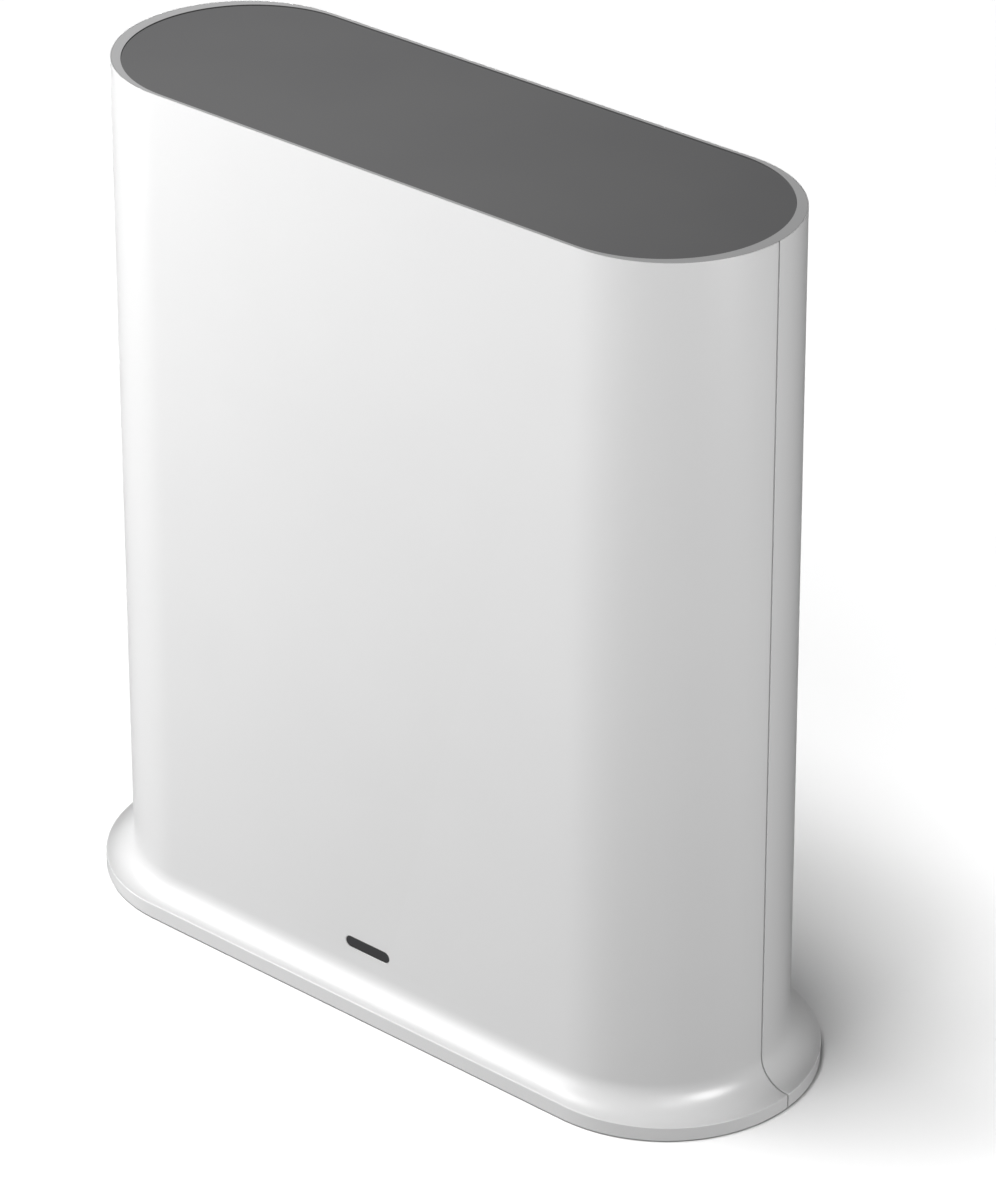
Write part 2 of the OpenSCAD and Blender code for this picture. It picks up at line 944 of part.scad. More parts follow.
module usb_tongue() {
    color("black") {
        block(usb_x, port_z, usb_core_w, usb_core_h, board_y, board_y + usb_block);
        block(usb_x, tongue_z, tongue_w, tongue_h, board_y + usb_block - eps, usb_mouth - tongue_back);
    }
}

module usb_contacts() {
    z = tongue_z - tongue_h / 2 - usb_wire_t / 2;
    color("gold")
        for (k = [-3.5, -1, 1, 3.5])
            translate([usb_x + k * usb_wire_w, 0, z])
                block(0, 0, usb_wire_w, usb_wire_t, board_y + usb_block, usb_mouth - 2 * tongue_back);
}

module power_jack() {
    color("black")
        difference() {
            union() {
                block(dc_x, port_z, dc_w, dc_h, board_y, dc_step);
                rod(dc_x, port_z, dc_nose_d, dc_step - eps, dc_mouth);
            }
            rod(dc_x, port_z, dc_bore_d, dc_floor, body_dep);
            rod(dc_x, port_z, dc_root_d, board_y + dc_root, dc_floor + 1);
            block(dc_x, port_z + leaf_z / 2, leaf_w + 2 * port_fit, leaf_z, dc_floor, dc_step - leaf_t);
        }
}

module power_pin() {
    y = dc_mouth - dc_tip;
    color("silver") {
        rod(dc_x, port_z, dc_root_d, board_y + dc_root, dc_floor + eps);
        rod(dc_x, port_z, dc_pin_d, dc_floor, y);
        translate([dc_x, y - eps, port_z])
            rotate([-90, 0, 0])
                cylinder(d1 = dc_pin_d, d2 = dc_pin_d / 2, h = dc_tip / 2);
    }
}

module power_spring() {
    y = dc_floor;
    z = port_z + leaf_z;
    color("gold")
        translate([dc_x - leaf_w / 2, 0, 0])
            rotate([90, 0, 90])
                linear_extrude(leaf_w)
                    polygon([
                        [y, z], [y, z - leaf_t], [y + leaf_foot, z - leaf_t], [y + leaf_mid, z - leaf_in],
                        [y + leaf_len, z - 3 * leaf_t], [y + leaf_len, z - 2 * leaf_t],
                        [y + leaf_mid, z - leaf_in + leaf_t], [y + leaf_foot + leaf_t, z]
                    ]);
}

module switch_bodies() {
    color("black")
        for (p = [[0, sync_z], [reset_x, port_z]])
            difference() {
                block(p[0], p[1], switch_w, switch_w, board_y, board_y + switch_h);
                rod(p[0], p[1], plunger_lip_d + 2 * press_fit, board_y + switch_floor, board_y + switch_w);
            }
}

module switch_covers() {
    color("silver")
        for (p = [[0, sync_z], [reset_x, port_z]])
            difference() {
                block(p[0], p[1], switch_w, switch_w, board_y + switch_h, board_y + switch_h + cover_t);
                rod(p[0], p[1], plunger_d + 2 * press_fit, board_y, board_y + 2 * switch_h);
            }
}

module plunger(x, z) {
    rod(x, z, plunger_d, board_y + switch_h - eps, plunger_top);
    rod(x, z, plunger_lip_d, board_y + switch_h - plunger_lip_t, board_y + switch_h);
}

module sync_plunger() {
    color("darkorange")
        plunger(0, sync_z);
}

module reset_plunger() {
    color("darkorange")
        plunger(reset_x, port_z);
}

module sync_button() {
    y = half(sync_z) + sync_out - sync_break;
    color("white") {
        rod(0, sync_z, sync_d, tube_end - eps, y);
        translate([0, y - eps, sync_z])
            rotate([-90, 0, 0])
                cylinder(d1 = sync_d, d2 = sync_d - 2 * sync_break, h = sync_break + eps);
        rod(0, sync_z, sync_d + 2 * press_fit + tube_wall, tube_end - sync_lip, tube_end);
        rod(0, sync_z, sync_stem_d, plunger_top, tube_end - sync_lip + eps);
    }
}

module strip(w, h) {
    along_y(strip_y, strip_y + strip_t)
        difference() {
            square([w, h], center = true);
            children();
        }
}

module wing_antenna(s) {
    translate([s * wing_x, 0, wing_z + wing_h / 2])
        strip(wing_w, wing_h)
            for (z = [-1, 1])
                translate([0, z * (wing_h / 2 - wing_peg)])
                    circle(d = peg_d);
}

module wifi_antenna_left() {
    color("seagreen")
        wing_antenna(-1);
}

module wifi_antenna_right() {
    color("seagreen")
        wing_antenna(1);
}

module camera_antenna() {
    color("seagreen")
        translate([0, 0, bar_z])
            strip(bar_w, bar_h)
                for (s = [-1, 1])
                    translate([s * bar_x, 0])
                        circle(d = peg_d);
}

// A lead along X from a plug, through one bend, then up along an antenna strip
module lead(x0, z0, x1, z1, bend) {
    translate([x0, lead_y, z0])
        rotate([0, 90, 0])
            cylinder(d = lead_d, h = x1 - bend - x0 + lead_lap);
    translate([x1 - bend, lead_y, z0 + bend])
        rotate([90, 0, 0])
            rotate([0, 0, -90])
                rotate_extrude(angle = 90)
                    translate([bend, 0])
                        circle(d = lead_d - lead_lap);
    translate([x1, lead_y, z0 + bend - lead_lap])
        cylinder(d = lead_d, h = z1 - z0 - bend + lead_lap);
}

module wing_lead() {
    lead(plug_x + plug_len, wing_z, wing_x - lead_on, wing_z + wing_h * 0.27, lead_bend);
}

module wifi_lead_right() {
    color("gray")
        wing_lead();
}

module wifi_lead_left() {
    color("gray")
        mirror([1, 0, 0])
            wing_lead();
}

module camera_lead() {
    x = camera_plug_x + plug_len;
    color("black")
        lead(x, camera_plug_z, x + 2 * lead_bend, bar_z - bar_h / 8, lead_bend);
}

module antenna_sockets() {
    color("gold")
        for (p = [[-plug_x, wing_z], [plug_x, wing_z], [camera_plug_x, camera_plug_z]]) {
            block(p[0], p[1], seat_w, seat_w, board_y, board_y + seat_t);
            rod(p[0], p[1], seat_post_d, board_y + seat_t - eps, board_y + seat_h);
        }
}

module plug() {
    rod(0, 0, plug_d, board_y + seat_h, lead_y + plug_neck_d / 2 + cover_t);
    translate([0, lead_y, 0])
        rotate([0, 90, 0])
            cylinder(d = plug_neck_d, h = plug_len);
}

module antenna_plugs() {
    color("gold") {
        translate([camera_plug_x, 0, camera_plug_z])
            plug();
        translate([plug_x, 0, wing_z])
            plug();
        mirror([1, 0, 0])
            translate([plug_x, 0, wing_z])
                plug();
    }
}

front_cover();
rear_cover();
top_cap();
top_panel();
base_plate();
rubber_feet();
base_screws();
status_lens();
light_guide();
status_led();
main_board();
board_screws();
processor();
thermal_pad();
heat_sink();
heat_sink_pins();
ram_chip();
flash_chip();
wifi_shield();
wifi_chip();
camera_radio_shield();
camera_radio_chip();
crystals();
power_inductor();
capacitors();
ethernet_shell();
ethernet_insert();
ethernet_contacts();
ethernet_lights();
ethernet_transformer();
usb_shell();
usb_tongue();
usb_contacts();
power_jack();
power_pin();
power_spring();
switch_bodies();
switch_covers();
sync_button();
sync_plunger();
reset_plunger();
wifi_antenna_left();
wifi_antenna_right();
camera_antenna();
wifi_lead_left();
wifi_lead_right();
camera_lead();
antenna_sockets();
antenna_plugs();
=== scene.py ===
import math
import bmesh
import bpy
from mathutils import Matrix, Vector


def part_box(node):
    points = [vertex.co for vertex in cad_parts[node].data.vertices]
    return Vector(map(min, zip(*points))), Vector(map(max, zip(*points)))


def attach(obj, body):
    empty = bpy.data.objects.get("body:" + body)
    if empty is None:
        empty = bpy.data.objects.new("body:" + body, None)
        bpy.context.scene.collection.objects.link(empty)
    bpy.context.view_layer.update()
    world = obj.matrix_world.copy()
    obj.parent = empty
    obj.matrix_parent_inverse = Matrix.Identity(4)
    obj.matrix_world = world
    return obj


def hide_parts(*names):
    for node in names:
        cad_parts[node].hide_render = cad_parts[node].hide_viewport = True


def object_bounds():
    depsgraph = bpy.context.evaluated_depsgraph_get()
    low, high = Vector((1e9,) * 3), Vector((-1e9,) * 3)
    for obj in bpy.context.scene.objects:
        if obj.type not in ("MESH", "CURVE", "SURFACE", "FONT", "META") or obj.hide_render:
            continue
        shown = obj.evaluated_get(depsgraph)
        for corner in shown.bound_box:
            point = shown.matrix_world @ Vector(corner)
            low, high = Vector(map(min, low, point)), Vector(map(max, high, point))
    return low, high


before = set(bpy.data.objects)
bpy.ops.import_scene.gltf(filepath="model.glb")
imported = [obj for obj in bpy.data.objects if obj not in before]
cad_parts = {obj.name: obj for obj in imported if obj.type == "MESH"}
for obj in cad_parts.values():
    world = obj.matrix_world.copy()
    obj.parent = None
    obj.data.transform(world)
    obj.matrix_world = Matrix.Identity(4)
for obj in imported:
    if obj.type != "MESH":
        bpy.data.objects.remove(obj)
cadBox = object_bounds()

scene = bpy.context.scene
mm = 0.001
arcMid = 0.29  # middle of a quarter round, as a share of its radius
fourWays = [(s, t) for s in (-1, 1) for t in (-1, 1)]

# camera at the photo's angle, the picture taken as 996 x 1200
photoView = {
    "place": (0.44437, -0.51321, 0.45416),
    "azimuth": 40.26,
    "elevation": 29.74,
    "lens": 148.28,
    "sensor": 36.0,  # on the upright side
}


def setCamera():
    data = bpy.data.cameras.new("photoCamera")
    data.sensor_fit = "VERTICAL"
    data.sensor_height = photoView["sensor"]
    data.lens = photoView["lens"]
    camera = bpy.data.objects.new("photoCamera", data)
    camera.location = photoView["place"]
    camera.rotation_euler = (
        math.radians(90 - photoView["elevation"]), 0, math.radians(photoView["azimuth"]))
    scene.collection.objects.link(camera)
    bpy.context.scene.camera = camera


setCamera()
print("stage 1: camera")


# small tools for the finishes
def addNode(tree, kind, values=None, **settings):
    made = tree.nodes.new("ShaderNode" + kind)
    for key, value in settings.items():
        setattr(made, key, value)
    for key, value in (values or {}).items():
        made.inputs[key].default_value = value
    return made


def noiseAt(tree, where, size, detail=2.0):
    made = addNode(tree, "TexNoise", {"Scale": 1 / (size * mm), "Detail": detail})
    tree.links.new(where, made.inputs["Vector"])
    return made.outputs[0]


def blendTones(tree, factor, first, second):
    made = addNode(tree, "Mix", data_type="RGBA")
    tree.links.new(factor, made.inputs[0])
    for slot, tone in ((6, first), (7, second)):
        if isinstance(tone, tuple):
            made.inputs[slot].default_value = (*tone, 1)
        else:
            tree.links.new(tone, made.inputs[slot])
    return made.outputs[2]


def spread(tree, value, low, high, fromLow=0.3, fromHigh=0.7):
    made = addNode(tree, "MapRange", {"From Min": fromLow, "From Max": fromHigh, "To Min": low, "To Max": high})
    tree.links.new(value, made.inputs["Value"])
    return made.outputs["Result"]


# a moulded, plated or coated surface: clouded tone, grain in gloss and relief, rubbed edges
def finish(name, tones, cloud, grain, rough, relief, metal=0.0, stretch=None, rubbed=None, clear=0.0, ior=1.5):
    coat = bpy.data.materials.new(name)
    coat.use_nodes = True
    tree = coat.node_tree
    shader = tree.nodes["Principled BSDF"]
    shader.inputs["Metallic"].default_value = metal
    shader.inputs["Transmission Weight"].default_value = clear
    shader.inputs["IOR"].default_value = ior
    where = addNode(tree, "TexCoord").outputs["Object"]
    if stretch:
        turn = addNode(tree, "Mapping", {"Scale": stretch})
        tree.links.new(where, turn.inputs["Vector"])
        where = turn.outputs["Vector"]
    clouds = spread(tree, noiseAt(tree, where, cloud), 0, 1)
    grains = noiseAt(tree, where, grain, 3.0)
    tone = blendTones(tree, clouds, *tones)
    gloss = spread(tree, grains, *rough, 0.1, 0.9)
    if rubbed:
        edges = spread(tree, addNode(tree, "NewGeometry").outputs["Pointiness"], 0, 0.6, 0.53, 0.62)
        tone = blendTones(tree, edges, tone, rubbed)
    tree.links.new(tone, shader.inputs["Base Color"])
    tree.links.new(gloss, shader.inputs["Roughness"])
    bump = addNode(tree, "Bump", {"Strength": 1.0, "Distance": relief * mm})
    tree.links.new(grains, bump.inputs["Height"])
    tree.links.new(bump.outputs["Normal"], shader.inputs["Normal"])
    return coat


# green mask over a grid of tracks
def maskFinish(name, tones, track, pitch):
    coat = finish(name, tones, 14, 0.5, (0.28, 0.4), 0.004, rubbed=(0.35, 0.3, 0.16))
    tree = coat.node_tree
    shader = tree.nodes["Principled BSDF"]
    where = addNode(tree, "TexCoord").outputs["Object"]
    turn = addNode(tree, "Mapping", {"Rotation": (math.radians(90), 0, 0), "Scale": (1 / (pitch * mm),) * 3})
    tree.links.new(where, turn.inputs["Vector"])
    grid = addNode(tree, "TexBrick", {"Scale": 1.0, "Mortar Size": 0.07, "Brick Width": 3.2, "Row Height": 1.0,
                                      "Bias": 0.0}, offset=0.37, squash=1.6, squash_frequency=3)
    tree.links.new(turn.outputs["Vector"], grid.inputs["Vector"])
    base = shader.inputs["Base Color"].links[0].from_socket
    tree.links.new(blendTones(tree, grid.outputs["Fac"], base, track), shader.inputs["Base Color"])
    return coat


whiteGloss = finish("whiteGloss", ((0.802, 0.802, 0.803), (0.817, 0.817, 0.817)), 35, 1.1, (0.27, 0.33), 0.0016,
                    rubbed=(0.76, 0.76, 0.755))
rimGrey = finish("rimGrey", ((0.362, 0.362, 0.365), (0.383, 0.383, 0.385)), 18, 0.5, (0.42, 0.5), 0.004,
                 rubbed=(0.42, 0.42, 0.42))
panelGrey = finish("panelGrey", ((0.098, 0.098, 0.100), (0.106, 0.106, 0.107)), 26, 0.32, (0.5, 0.6), 0.005,
                   rubbed=(0.14, 0.14, 0.14))
baseGrey = finish("baseGrey", ((0.56, 0.565, 0.57), (0.60, 0.602, 0.605)), 20, 0.45, (0.48, 0.6), 0.008,
                  rubbed=(0.5, 0.5, 0.49))
rubberBlack = finish("rubberBlack", ((0.022, 0.022, 0.024), (0.034, 0.034, 0.035)), 4, 0.3, (0.7, 0.9), 0.012,
                     rubbed=(0.07, 0.07, 0.068))
zincSteel = finish("zincSteel", ((0.5, 0.5, 0.52), (0.62, 0.62, 0.61)), 1.6, 0.25, (0.22, 0.42), 0.003, metal=1.0,
                   rubbed=(0.75, 0.74, 0.72))
smokedWindow = finish("smokedWindow", ((0.044, 0.044, 0.046), (0.05, 0.05, 0.052)), 5, 0.4, (0.3, 0.38), 0.001,
                      rubbed=(0.08, 0.08, 0.08))
clearAcrylic = finish("clearAcrylic", ((0.86, 0.9, 0.91), (0.92, 0.94, 0.945)), 6, 0.8, (0.05, 0.12), 0.001,
                      clear=0.85, ior=1.49)
greenMask = maskFinish("greenMask", ((0.012, 0.13, 0.055), (0.016, 0.16, 0.07)), (0.03, 0.24, 0.11), 1.3)
blackNylon = finish("blackNylon", ((0.018, 0.018, 0.019), (0.03, 0.03, 0.031)), 5, 0.3, (0.4, 0.55), 0.006,
                    rubbed=(0.07, 0.07, 0.07))
chipEpoxy = finish("chipEpoxy", ((0.03, 0.03, 0.033), (0.042, 0.042, 0.044)), 3, 0.12, (0.5, 0.65), 0.004,
                   rubbed=(0.09, 0.09, 0.09))
tinPlate = finish("tinPlate", ((0.6, 0.6, 0.6), (0.74, 0.735, 0.72)), 2.5, 0.2, (0.2, 0.38), 0.002, metal=1.0,
                  stretch=(1, 1, 0.25), rubbed=(0.82, 0.81, 0.79))
finAluminium = finish("finAluminium", ((0.68, 0.69, 0.7), (0.8, 0.805, 0.81)), 3, 0.16, (0.26, 0.44), 0.004,
                      metal=1.0, stretch=(1, 1, 0.06), rubbed=(0.88, 0.88, 0.88))
goldPlate = finish("goldPlate", ((0.72, 0.5, 0.17), (0.86, 0.63, 0.26)), 1.2, 0.15, (0.16, 0.3), 0.0015, metal=1.0,
                   rubbed=(0.9, 0.72, 0.4))
softPad = finish("softPad", ((0.5, 0.5, 0.55), (0.6, 0.6, 0.64)), 1.0, 0.2, (0.7, 0.85), 0.02,
                 rubbed=(0.66, 0.66, 0.7))
leadJacket = finish("leadJacket", ((0.2, 0.2, 0.215), (0.26, 0.26, 0.27)), 4, 0.25, (0.35, 0.5), 0.004,
                    rubbed=(0.32, 0.32, 0.33))
naturalNylon = finish("naturalNylon", ((0.74, 0.72, 0.66), (0.8, 0.78, 0.72)), 3, 0.3, (0.35, 0.5), 0.005,
                      rubbed=(0.85, 0.84, 0.8))
orangeNylon = finish("orangeNylon", ((0.66, 0.22, 0.03), (0.74, 0.27, 0.045)), 2, 0.25, (0.36, 0.48), 0.005,
                     rubbed=(0.84, 0.4, 0.12))
copperWire = finish("copperWire", ((0.62, 0.25, 0.1), (0.74, 0.34, 0.16)), 1.0, 0.12, (0.2, 0.34), 0.002, metal=1.0,
                    rubbed=(0.85, 0.5, 0.3))
lightGelTone = finish("lightGelTone", ((0.78, 0.6, 0.1), (0.84, 0.68, 0.18)), 0.8, 0.1, (0.3, 0.45), 0.002)
ceramicTan = finish("ceramicTan", ((0.36, 0.24, 0.14), (0.46, 0.32, 0.2)), 1.0, 0.12, (0.45, 0.6), 0.003,
                    rubbed=(0.55, 0.42, 0.3))
print("stage 2: finishes")


# small tools for the meshes, all in millimetres
def softEnds(low, high, edge):
    return ((low, -edge), (low + arcMid * edge, -arcMid * edge), (low + edge, 0),
            (high - edge, 0), (high - arcMid * edge, -arcMid * edge), (high, -edge))


def oval(wide, tall, steps=12):
    def shape(grow=0.0):
        r = tall / 2 + grow
        c = (wide - tall) / 2
        arc = [math.radians(-90 + 180 * i / steps) for i in range(steps + 1)]
        right = [(c + r * math.cos(a), r * math.sin(a)) for a in arc]
        return right + [(-u, -v) for u, v in right]
    return shape


def upright(shape):
    return lambda grow=0.0: [(-v, u) for u, v in shape(grow)]


def roundedBox(wide, tall, corner, steps=4):
    def shape(grow=0.0):
        r = max(corner + grow, 0.01)
        a, b = wide / 2 + grow - r, tall / 2 + grow - r
        points = []
        for k, (s, t) in enumerate(((1, 1), (-1, 1), (-1, -1), (1, -1))):
            for i in range(steps + 1):
                q = math.radians(90 * k + 90 * i / steps)
                points.append((s * a + r * math.cos(q), t * b + r * math.sin(q)))
        return points
    return shape


def disc(across, steps=40):
    def shape(grow=0.0):
        r = across / 2 + grow
        return [(r * math.cos(2 * math.pi * i / steps), r * math.sin(2 * math.pi * i / steps)) for i in range(steps)]
    return shape


def joinRings(bm, first, second):
    count = max(len(first), len(second))
    for i in range(count):
        j = (i + 1) % count
        if len(first) == 1:
            bm.faces.new((first[0], second[j], second[i]))
        elif len(second) == 1:
            bm.faces.new((first[i], first[j], second[0]))
        else:
            bm.faces.new((first[i], first[j], second[j], second[i]))


def closeRings(bm, rings):
    for first, second in zip(rings, rings[1:]):
        joinRings(bm, first, second)
    for ring in (rings[0], rings[-1]):
        if len(ring) > 2:
            bm.faces.new(ring)


# rings joined all round, the last to the first
def hoop(bm, rings):
    for first, second in zip(rings, rings[1:] + rings[:1]):
        joinRings(bm, first, second)


# where copy i of a row stands, from the row's middle
def rowAt(i, count, step):
    return (i - (count - 1) / 2) * step


def lay(axis, at, u, v, h):
    if axis == "z":
        return (at[0] + u, at[1] + v, h)
    if axis == "y":
        return (at[0] + u, h, at[1] + v)
    return (h, at[0] + u, at[1] + v)


def layered(bm, shape, levels, at=(0, 0), axis="z"):
    closeRings(bm, [[bm.verts.new(lay(axis, at, u, v, h)) for u, v in shape(grow)] for h, grow in levels])


def turned(bm, section, at=(0, 0), axis="z", steps=32):
    rings = []
    for r, h in section:
        if r < 0.001:
            rings.append([bm.verts.new(lay(axis, at, 0, 0, h))])
        else:
            rings.append([bm.verts.new(lay(axis, at, u, v, h)) for u, v in disc(2 * r, steps)()])
    closeRings(bm, rings)


def softenEdges(bm, verts, soft, steps=2):
    edges = list({e for v in verts for e in v.link_edges})
    bmesh.ops.bevel(bm, geom=edges, offset=soft, segments=steps, profile=0.5, affect="EDGES", clamp_overlap=True)


def block(bm, low, high, soft=0.0, steps=2):
    made = bmesh.ops.create_cube(bm, size=1.0)["verts"]
    for v in made:
        v.co = [low[i] + (v.co[i] + 0.5) * (high[i] - low[i]) for i in range(3)]
    if soft:
        softenEdges(bm, made, soft, steps)


def prism(bm, outline, low, high, axis="x", soft=0.0):
    rings = [[bm.verts.new(lay(axis, (0, 0), u, v, h)) for u, v in outline] for h in (low, high)]
    closeRings(bm, rings)
    if soft:
        softenEdges(bm, rings[0] + rings[1], soft, 1)


def skinned(bm, sections):
    closeRings(bm, [[bm.verts.new(p) for p in section] for section in sections])


# a path with its corners turned into arcs of a radius
def rounded(points, radius, steps=6):
    points = [Vector(p) for p in points]
    path = [points[0]]
    for before, corner, after in zip(points, points[1:], points[2:]):
        a, b = (before - corner).normalized(), (after - corner).normalized()
        for i in range(steps + 1):
            t = i / steps
            path.append(corner + a * radius * (1 - t) ** 2 + b * radius * t ** 2)
    return path + [points[-1]]


def tube(bm, path, across, steps=12):
    side = None
    sections = []
    for i, p in enumerate(path):
        run = (path[min(i + 1, len(path) - 1)] - path[max(i - 1, 0)]).normalized()
        if side is None:
            side = run.orthogonal().normalized()
        side = (side - run * side.dot(run)).normalized()
        other = run.cross(side)
        sections.append([p + side * u + other * v for u, v in disc(across, steps)()])
    skinned(bm, sections)


def settle(bm):
    bmesh.ops.remove_doubles(bm, verts=bm.verts, dist=0.0005)
    bmesh.ops.recalc_face_normals(bm, faces=bm.faces)


# joins two shapes into one skin, cuts one from the other or keeps what they share
def combine(bm, tool, how="DIFFERENCE"):
    pair = []
    for part in (bm, tool):
        settle(part)
        mesh = bpy.data.meshes.new("shaping")
        part.to_mesh(mesh)
        part.free()
        pair.append(bpy.data.objects.new("shaping", mesh))
        scene.collection.objects.link(pair[-1])
    step = pair[0].modifiers.new("shaping", "BOOLEAN")
    step.operation = how
    step.solver = "EXACT"
    step.use_self = True
    step.object = pair[1]
    shaped = bmesh.new()
    shaped.from_object(pair[0], bpy.context.evaluated_depsgraph_get())
    for temp in pair:
        mesh = temp.data
        bpy.data.objects.remove(temp)
        bpy.data.meshes.remove(mesh)
    return shaped


def stamped(bm, pattern, places):
    mesh = bpy.data.meshes.new("shaping")
    for place in places:
        copy = pattern.copy()
        copy.transform(place)
        copy.to_mesh(mesh)
        copy.free()
        bm.from_mesh(mesh)
    bpy.data.meshes.remove(mesh)


def piece(name, bm, coat, nodes=(), body="housing", crease=38):
    settle(bm)
    mesh = bpy.data.meshes.new(name)
    bm.to_mesh(mesh)
    bm.free()
    mesh.transform(Matrix.Scale(mm, 4))
    mesh.materials.append(coat)
    mesh.shade_smooth()
    mesh.set_sharp_from_angle(angle=math.radians(crease))
    made = bpy.data.objects.new(name, mesh)
    scene.collection.objects.link(made)
    flats = made.modifiers.new("flats", "WEIGHTED_NORMAL")
    flats.keep_sharp = True
    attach(made, body)
    if nodes:
        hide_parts(*nodes)
    return made


def spot(node):
    low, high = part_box(node)
    low, high = Vector(low) / mm, Vector(high) / mm
    return low, high, (low + high) / 2, high - low


# front and rear covers
shell = {
    "length": 125.0,
    "depth": 41.0,
    "height": cadBox[1][2] / mm,
    "lean": 0.58,  # degrees
    "wall": 2.2,
    "seam": 0.3,
    "seamEdge": 0.1,
    "topEdge": 0.06,
    "flare": 5.0,
    "flareSteps": 12,
    "footLength": (cadBox[1][0] - cadBox[0][0]) / mm,
    "footDepth": (cadBox[1][1] - cadBox[0][1]) / mm,
    "footGap": 0.5,
    "skirt": 0.2,  # the covers reach this close to the floor
    "footEdge": 2.15,
    "crest": 0.12,
    "heel": 0.12,
    "plate": 2.0,
    "plateLip": 3.0,
    "capDeep": 3.0,
    "capLean": 11.0,  # degrees
    "rimLand": 0.15,
    "arcSteps": 36,
}
endX = (shell["length"] - shell["depth"]) / 2
footX = (shell["footLength"] - shell["footDepth"]) / 2
top = shell["height"]
capZ = top - shell["capDeep"]
plateZ = shell["footGap"] + shell["plate"]
edgeZ = shell["footGap"] + shell["footEdge"]
flareZ = edgeZ + shell["flare"]


def half(z):
    return shell["depth"] / 2 + (top - z) * math.tan(math.radians(shell["lean"]))


def capHalf(z):
    return shell["depth"] / 2 - shell["rimLand"] - (top - z) * math.tan(math.radians(shell["capLean"]))


# how far a ray from a place on the middle line runs to an oval with round ends about cx
def reach(ray, cx, r):
    x, y, ux, uy = ray
    if abs(x) <= cx and ux == 0:
        return r - abs(y)
    dx = x - math.copysign(cx, x)
    b = dx * ux + y * uy
    return math.sqrt(b * b - dx * dx - y * y + r * r) - b


def along(ray, far, z):
    x, y, ux, uy = ray
    return Vector((x + ux * far, y + uy * far, z))


def quarterRays(side):
    rays = []
    for i in range(1, shell["arcSteps"] + 1):
        a = math.radians(90 * i / shell["arcSteps"])
        rays.append((endX, 0, round(math.cos(a), 12), side * math.sin(a)))
    return rays


def halfPath(side):
    gap, edge = shell["seam"] / 2, shell["seamEdge"]
    path = [((endX, side * (gap + edge * a), 1, 0), edge * b) for a, b in ((0, 1), (arcMid, arcMid), (1, 0))]
    path += [(ray, 0) for ray in quarterRays(side)]
    return path + [((-x, y, -ux, uy), inset) for (x, y, ux, uy), inset in reversed(path)]


def coverSection(ray, inset):
    r, n = shell["flare"], shell["flareSteps"]
    wallFar = reach(ray, endX, half(flareZ))
    footFar = reach(ray, footX, shell["footDepth"] / 2)
    out = footFar - wallFar
    lastTurn = math.acos(1 - min(out - shell["crest"], r) / r)
    footTurn = math.acos(1 - min(out, r) / r)
    footTop = flareZ - r * math.sin(footTurn)
    edge = shell["topEdge"]
    topFar = reach(ray, endX, half(top)) - inset
    points = [
        along(ray, reach(ray, endX, capHalf(top)), top),
        along(ray, topFar - edge, top),
        along(ray, topFar - arcMid * edge, top - arcMid * edge),
        along(ray, topFar, top - edge),
    ]
    for i in range(n + 1):
        a = lastTurn * i / n
        far = wallFar + r - (r + inset) * math.cos(a)
        points.append(along(ray, far, flareZ - r * math.sin(a) - inset * math.sin(a)))
    start = along(ray, footFar - shell["crest"], points[-1].z)
    corner = along(ray, footFar - inset, footTop - inset)
    end = along(ray, footFar - inset, footTop - shell["crest"] - inset)
    for i in range(5):
        t = i / 4
        points.append(start * (1 - t) ** 2 + corner * 2 * t * (1 - t) + end * t ** 2)
    heel = shell["heel"]
    low = shell["skirt"]
    for a, b in ((0, 1), (arcMid, arcMid), (1, 0)):
        points.append(along(ray, footFar - inset - heel * a, low + heel * b))
    seat = reach(ray, footX, shell["footDepth"] / 2 - shell["plateLip"])
    points.append(along(ray, seat, low))
    points.append(along(ray, seat, plateZ))
    for z in (plateZ, capZ):
        points.append(along(ray, reach(ray, endX, half(z) - shell["wall"]), z))
    points.append(along(ray, reach(ray, endX, capHalf(capZ)), capZ))
    return points


def coverBlank(side):
    bm = bmesh.new()
    skinned(bm, [coverSection(ray, inset) for ray, inset in halfPath(side)])
    return bm


# an opening through a cover's flat side, with a rounded lip that follows the wall's lean
def wallCut(bm, shape, at, side, deep, lip):
    levels = ((-deep, 0), (-lip, 0), (-arcMid * lip, arcMid * lip), (0.02, lip), (2, lip))
    x, z = at
    closeRings(bm, [[bm.verts.new((x + u, side * (half(z + v) + h), z + v)) for u, v in shape(grow)]
                    for h, grow in levels])


tongue = {"outer": 1.2, "inner": 2.15, "low": plateZ + 2.4, "high": capZ - 0.6, "back": 1.15, "ahead": 1.8, "fit": 0.1}


# the strip of wall behind the seam, at both ends
def seamStrip(bm, outer, inner, y0, y1, grow):
    low, high = tongue["low"] - grow, tongue["high"] + grow
    for s in (-1, 1):
        sections = []
        for i in range(9):
            y = y0 + (y1 - y0) * i / 8
            sections.append([(s * (endX + math.sqrt((half(z) - inset) ** 2 - y * y)), y, z)
                             for inset, z in ((outer, low), (inner, low), (inner, high), (outer, high))])
        skinned(bm, sections)


post = {"x": 30.0, "y": 12.0, "low": plateZ + 2, "tall": 14.5, "across": 7.0, "pilot": 2.8, "deep": 10.5, "rib": 1.6}


def screwPosts(bm, side):
    low, high = post["low"], post["low"] + post["tall"]
    r, p, deep = post["across"] / 2, post["pilot"] / 2, post["low"] + post["deep"]
    for x in (-post["x"], post["x"]):
        turned(bm, ((0, deep), (p, deep), (p, low), (r - 0.2, low), (r, low + 0.2), (r, high - 0.3), (r - 0.3, high),
                    (0, high)), (x, side * post["y"]))
        near, far = sorted((side * (post["y"] + r - 0.3), side * (half(high) - 1.1)))
        block(bm, (x - post["rib"] / 2, near, low + 1.8), (x + post["rib"] / 2, far, high - 1.8), 0.15)


